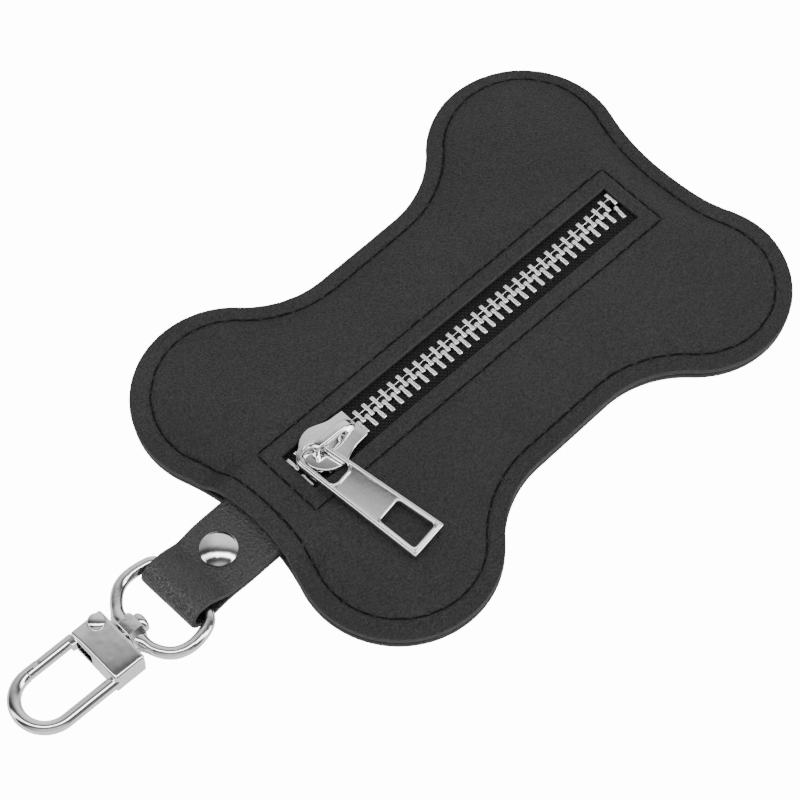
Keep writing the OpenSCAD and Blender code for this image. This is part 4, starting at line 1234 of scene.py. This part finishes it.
# seen straight on, the floor is the white of the set
white = node(nt, "ShaderNodeEmission", Strength=15.0)
path = nt.nodes.new("ShaderNodeLightPath")
share = node(nt, "ShaderNodeMath", operation="MULTIPLY")
share.inputs[1].default_value = 0.93
nt.links.new(path.outputs["Is Camera Ray"], share.inputs[0])
both = nt.nodes.new("ShaderNodeMixShader")
nt.links.new(share.outputs[0], both.inputs[0])
nt.links.new(b.outputs[0], both.inputs[1])
nt.links.new(white.outputs[0], both.inputs[2])
nt.links.new(both.outputs[0], nt.nodes["Material Output"].inputs[0])
me = bpy.data.meshes.new("floor")
me.from_pydata([(-6, -6, -0.0002), (6, -6, -0.0002), (6, 6, -0.0002), (-6, 6, -0.0002)], [], [(0, 1, 2, 3)])
me.materials.append(fm)
floor = link(me, "floor")

world = bpy.data.worlds.new("studio")
bpy.context.scene.world = world
world.use_nodes = True
wn = world.node_tree
WL = wn.links.new
towards = wn.nodes.new("ShaderNodeTexCoord").outputs["Generated"]


def leaning(axis):
    """How far a direction leans along the axis."""
    n = node(wn, "ShaderNodeVectorMath", operation="DOT_PRODUCT")
    n.inputs[1].default_value = axis
    WL(towards, n.inputs[0])
    return n.outputs["Value"]


# bands of light from this side of the set to the far side, a little uneven
uneven = node(wn, "ShaderNodeTexNoise", Scale=3.0, Detail=1)
WL(towards, uneven.inputs["Vector"])
add = wn.nodes.new("ShaderNodeMath")
WL(leaning((0.7071, 0.7071, 0)), add.inputs[0])
WL(map_range(wn, uneven.outputs["Fac"], (0, 1), (-0.07, 0.07)).outputs[0], add.inputs[1])
half = node(wn, "ShaderNodeMath", operation="MULTIPLY_ADD")
WL(add.outputs[0], half.inputs[0])
half.inputs[1].default_value = 0.5
half.inputs[2].default_value = 0.5
# grey on this side, then a narrow white strip between two dark ones, then pale on the far side
BANDS = [(-1.0, 1.0), (-0.7, 0.9), (-0.56, 0.3), (-0.44, 0.1), (-0.3, 0.15), (-0.22, 5.0), (-0.17, 8.0),
         (-0.06, 8.0), (0.0, 4.0), (0.06, 0.6), (0.13, 0.13), (0.24, 0.15), (0.33, 0.32), (0.42, 0.58),
         (0.5, 0.85), (0.6, 1.05), (0.8, 1.2), (1.0, 1.2)]
SKY = 8.0
bands = ramp(wn, [(0.5 + 0.5 * p, c / SKY) for p, c in BANDS], half.outputs[0])
# all are dimmer on the set's left, as the camera looks
dim = map_range(wn, leaning((0.7071, -0.7071, 0)), (-0.75, -0.1), (0.45, 1.0), "SMOOTHSTEP")
dimmed = node(wn, "ShaderNodeVectorMath", operation="SCALE")
WL(bands.outputs[0], dimmed.inputs[0])
WL(dim.outputs[0], dimmed.inputs["Scale"])
# the camera itself sees plain white
mx = wn.nodes.new("ShaderNodeMixRGB")
WL(wn.nodes.new("ShaderNodeLightPath").outputs["Is Camera Ray"], mx.inputs[0])
WL(dimmed.outputs[0], mx.inputs[1])
mx.inputs[2].default_value = (1.8, 1.8, 1.8, 1)
bg = wn.nodes["Background"]
WL(mx.outputs[0], bg.inputs["Color"])
bg.inputs["Strength"].default_value = SKY


def area(name, pos, size, power):
    """A soft light aimed at the middle, which metal doesn't mirror."""
    la = bpy.data.lights.new(name, "AREA")
    la.shape = "RECTANGLE"
    la.size, la.size_y = size
    la.energy = power
    ob = bpy.data.objects.new(name, la)
    bpy.context.scene.collection.objects.link(ob)
    ob.location = pos
    ob.rotation_mode = "QUATERNION"
    ob.rotation_quaternion = (-Vector(pos)).to_track_quat("-Z", "Y")
    ob.visible_glossy = False


area("top", (0.0, 0.0, 1.6), (2.4, 2.4), 5)
area("key", (-0.12, 0.42, 0.42), (0.4, 0.4), 2.2)
area("near", (-0.55, -0.75, 0.5), (0.5, 0.3), 2)

cam = bpy.data.cameras.new("camera")
cam.lens, cam.sensor_width = 128.57, 36
cam.clip_start, cam.clip_end = 0.05, 50
cob = bpy.data.objects.new("camera", cam)
bpy.context.scene.collection.objects.link(cob)
# angles, distance in mm, focal length in pixels, and where the origin lies in the 800 x 800 picture
tilt, yaw = math.radians(30.454), math.radians(45.0)
dist, foc, u0, v0, mid = 565.0, 2857.0, 463.75, 346.9, 400
right = np.array([math.cos(yaw), -math.sin(yaw), 0])
up = np.array([math.sin(yaw) * math.cos(tilt), math.cos(yaw) * math.cos(tilt), math.sin(tilt)])
fwd = np.array([math.sin(yaw) * math.sin(tilt), math.cos(yaw) * math.sin(tilt), -math.cos(tilt)])
place = -(right * (u0 - mid) / foc * dist + up * -(v0 - mid) / foc * dist + fwd * dist) * MM
cob.matrix_world = Matrix([[right[i], up[i], -fwd[i], place[i]] for i in range(3)] + [[0, 0, 0, 1]])
bpy.context.scene.camera = cob
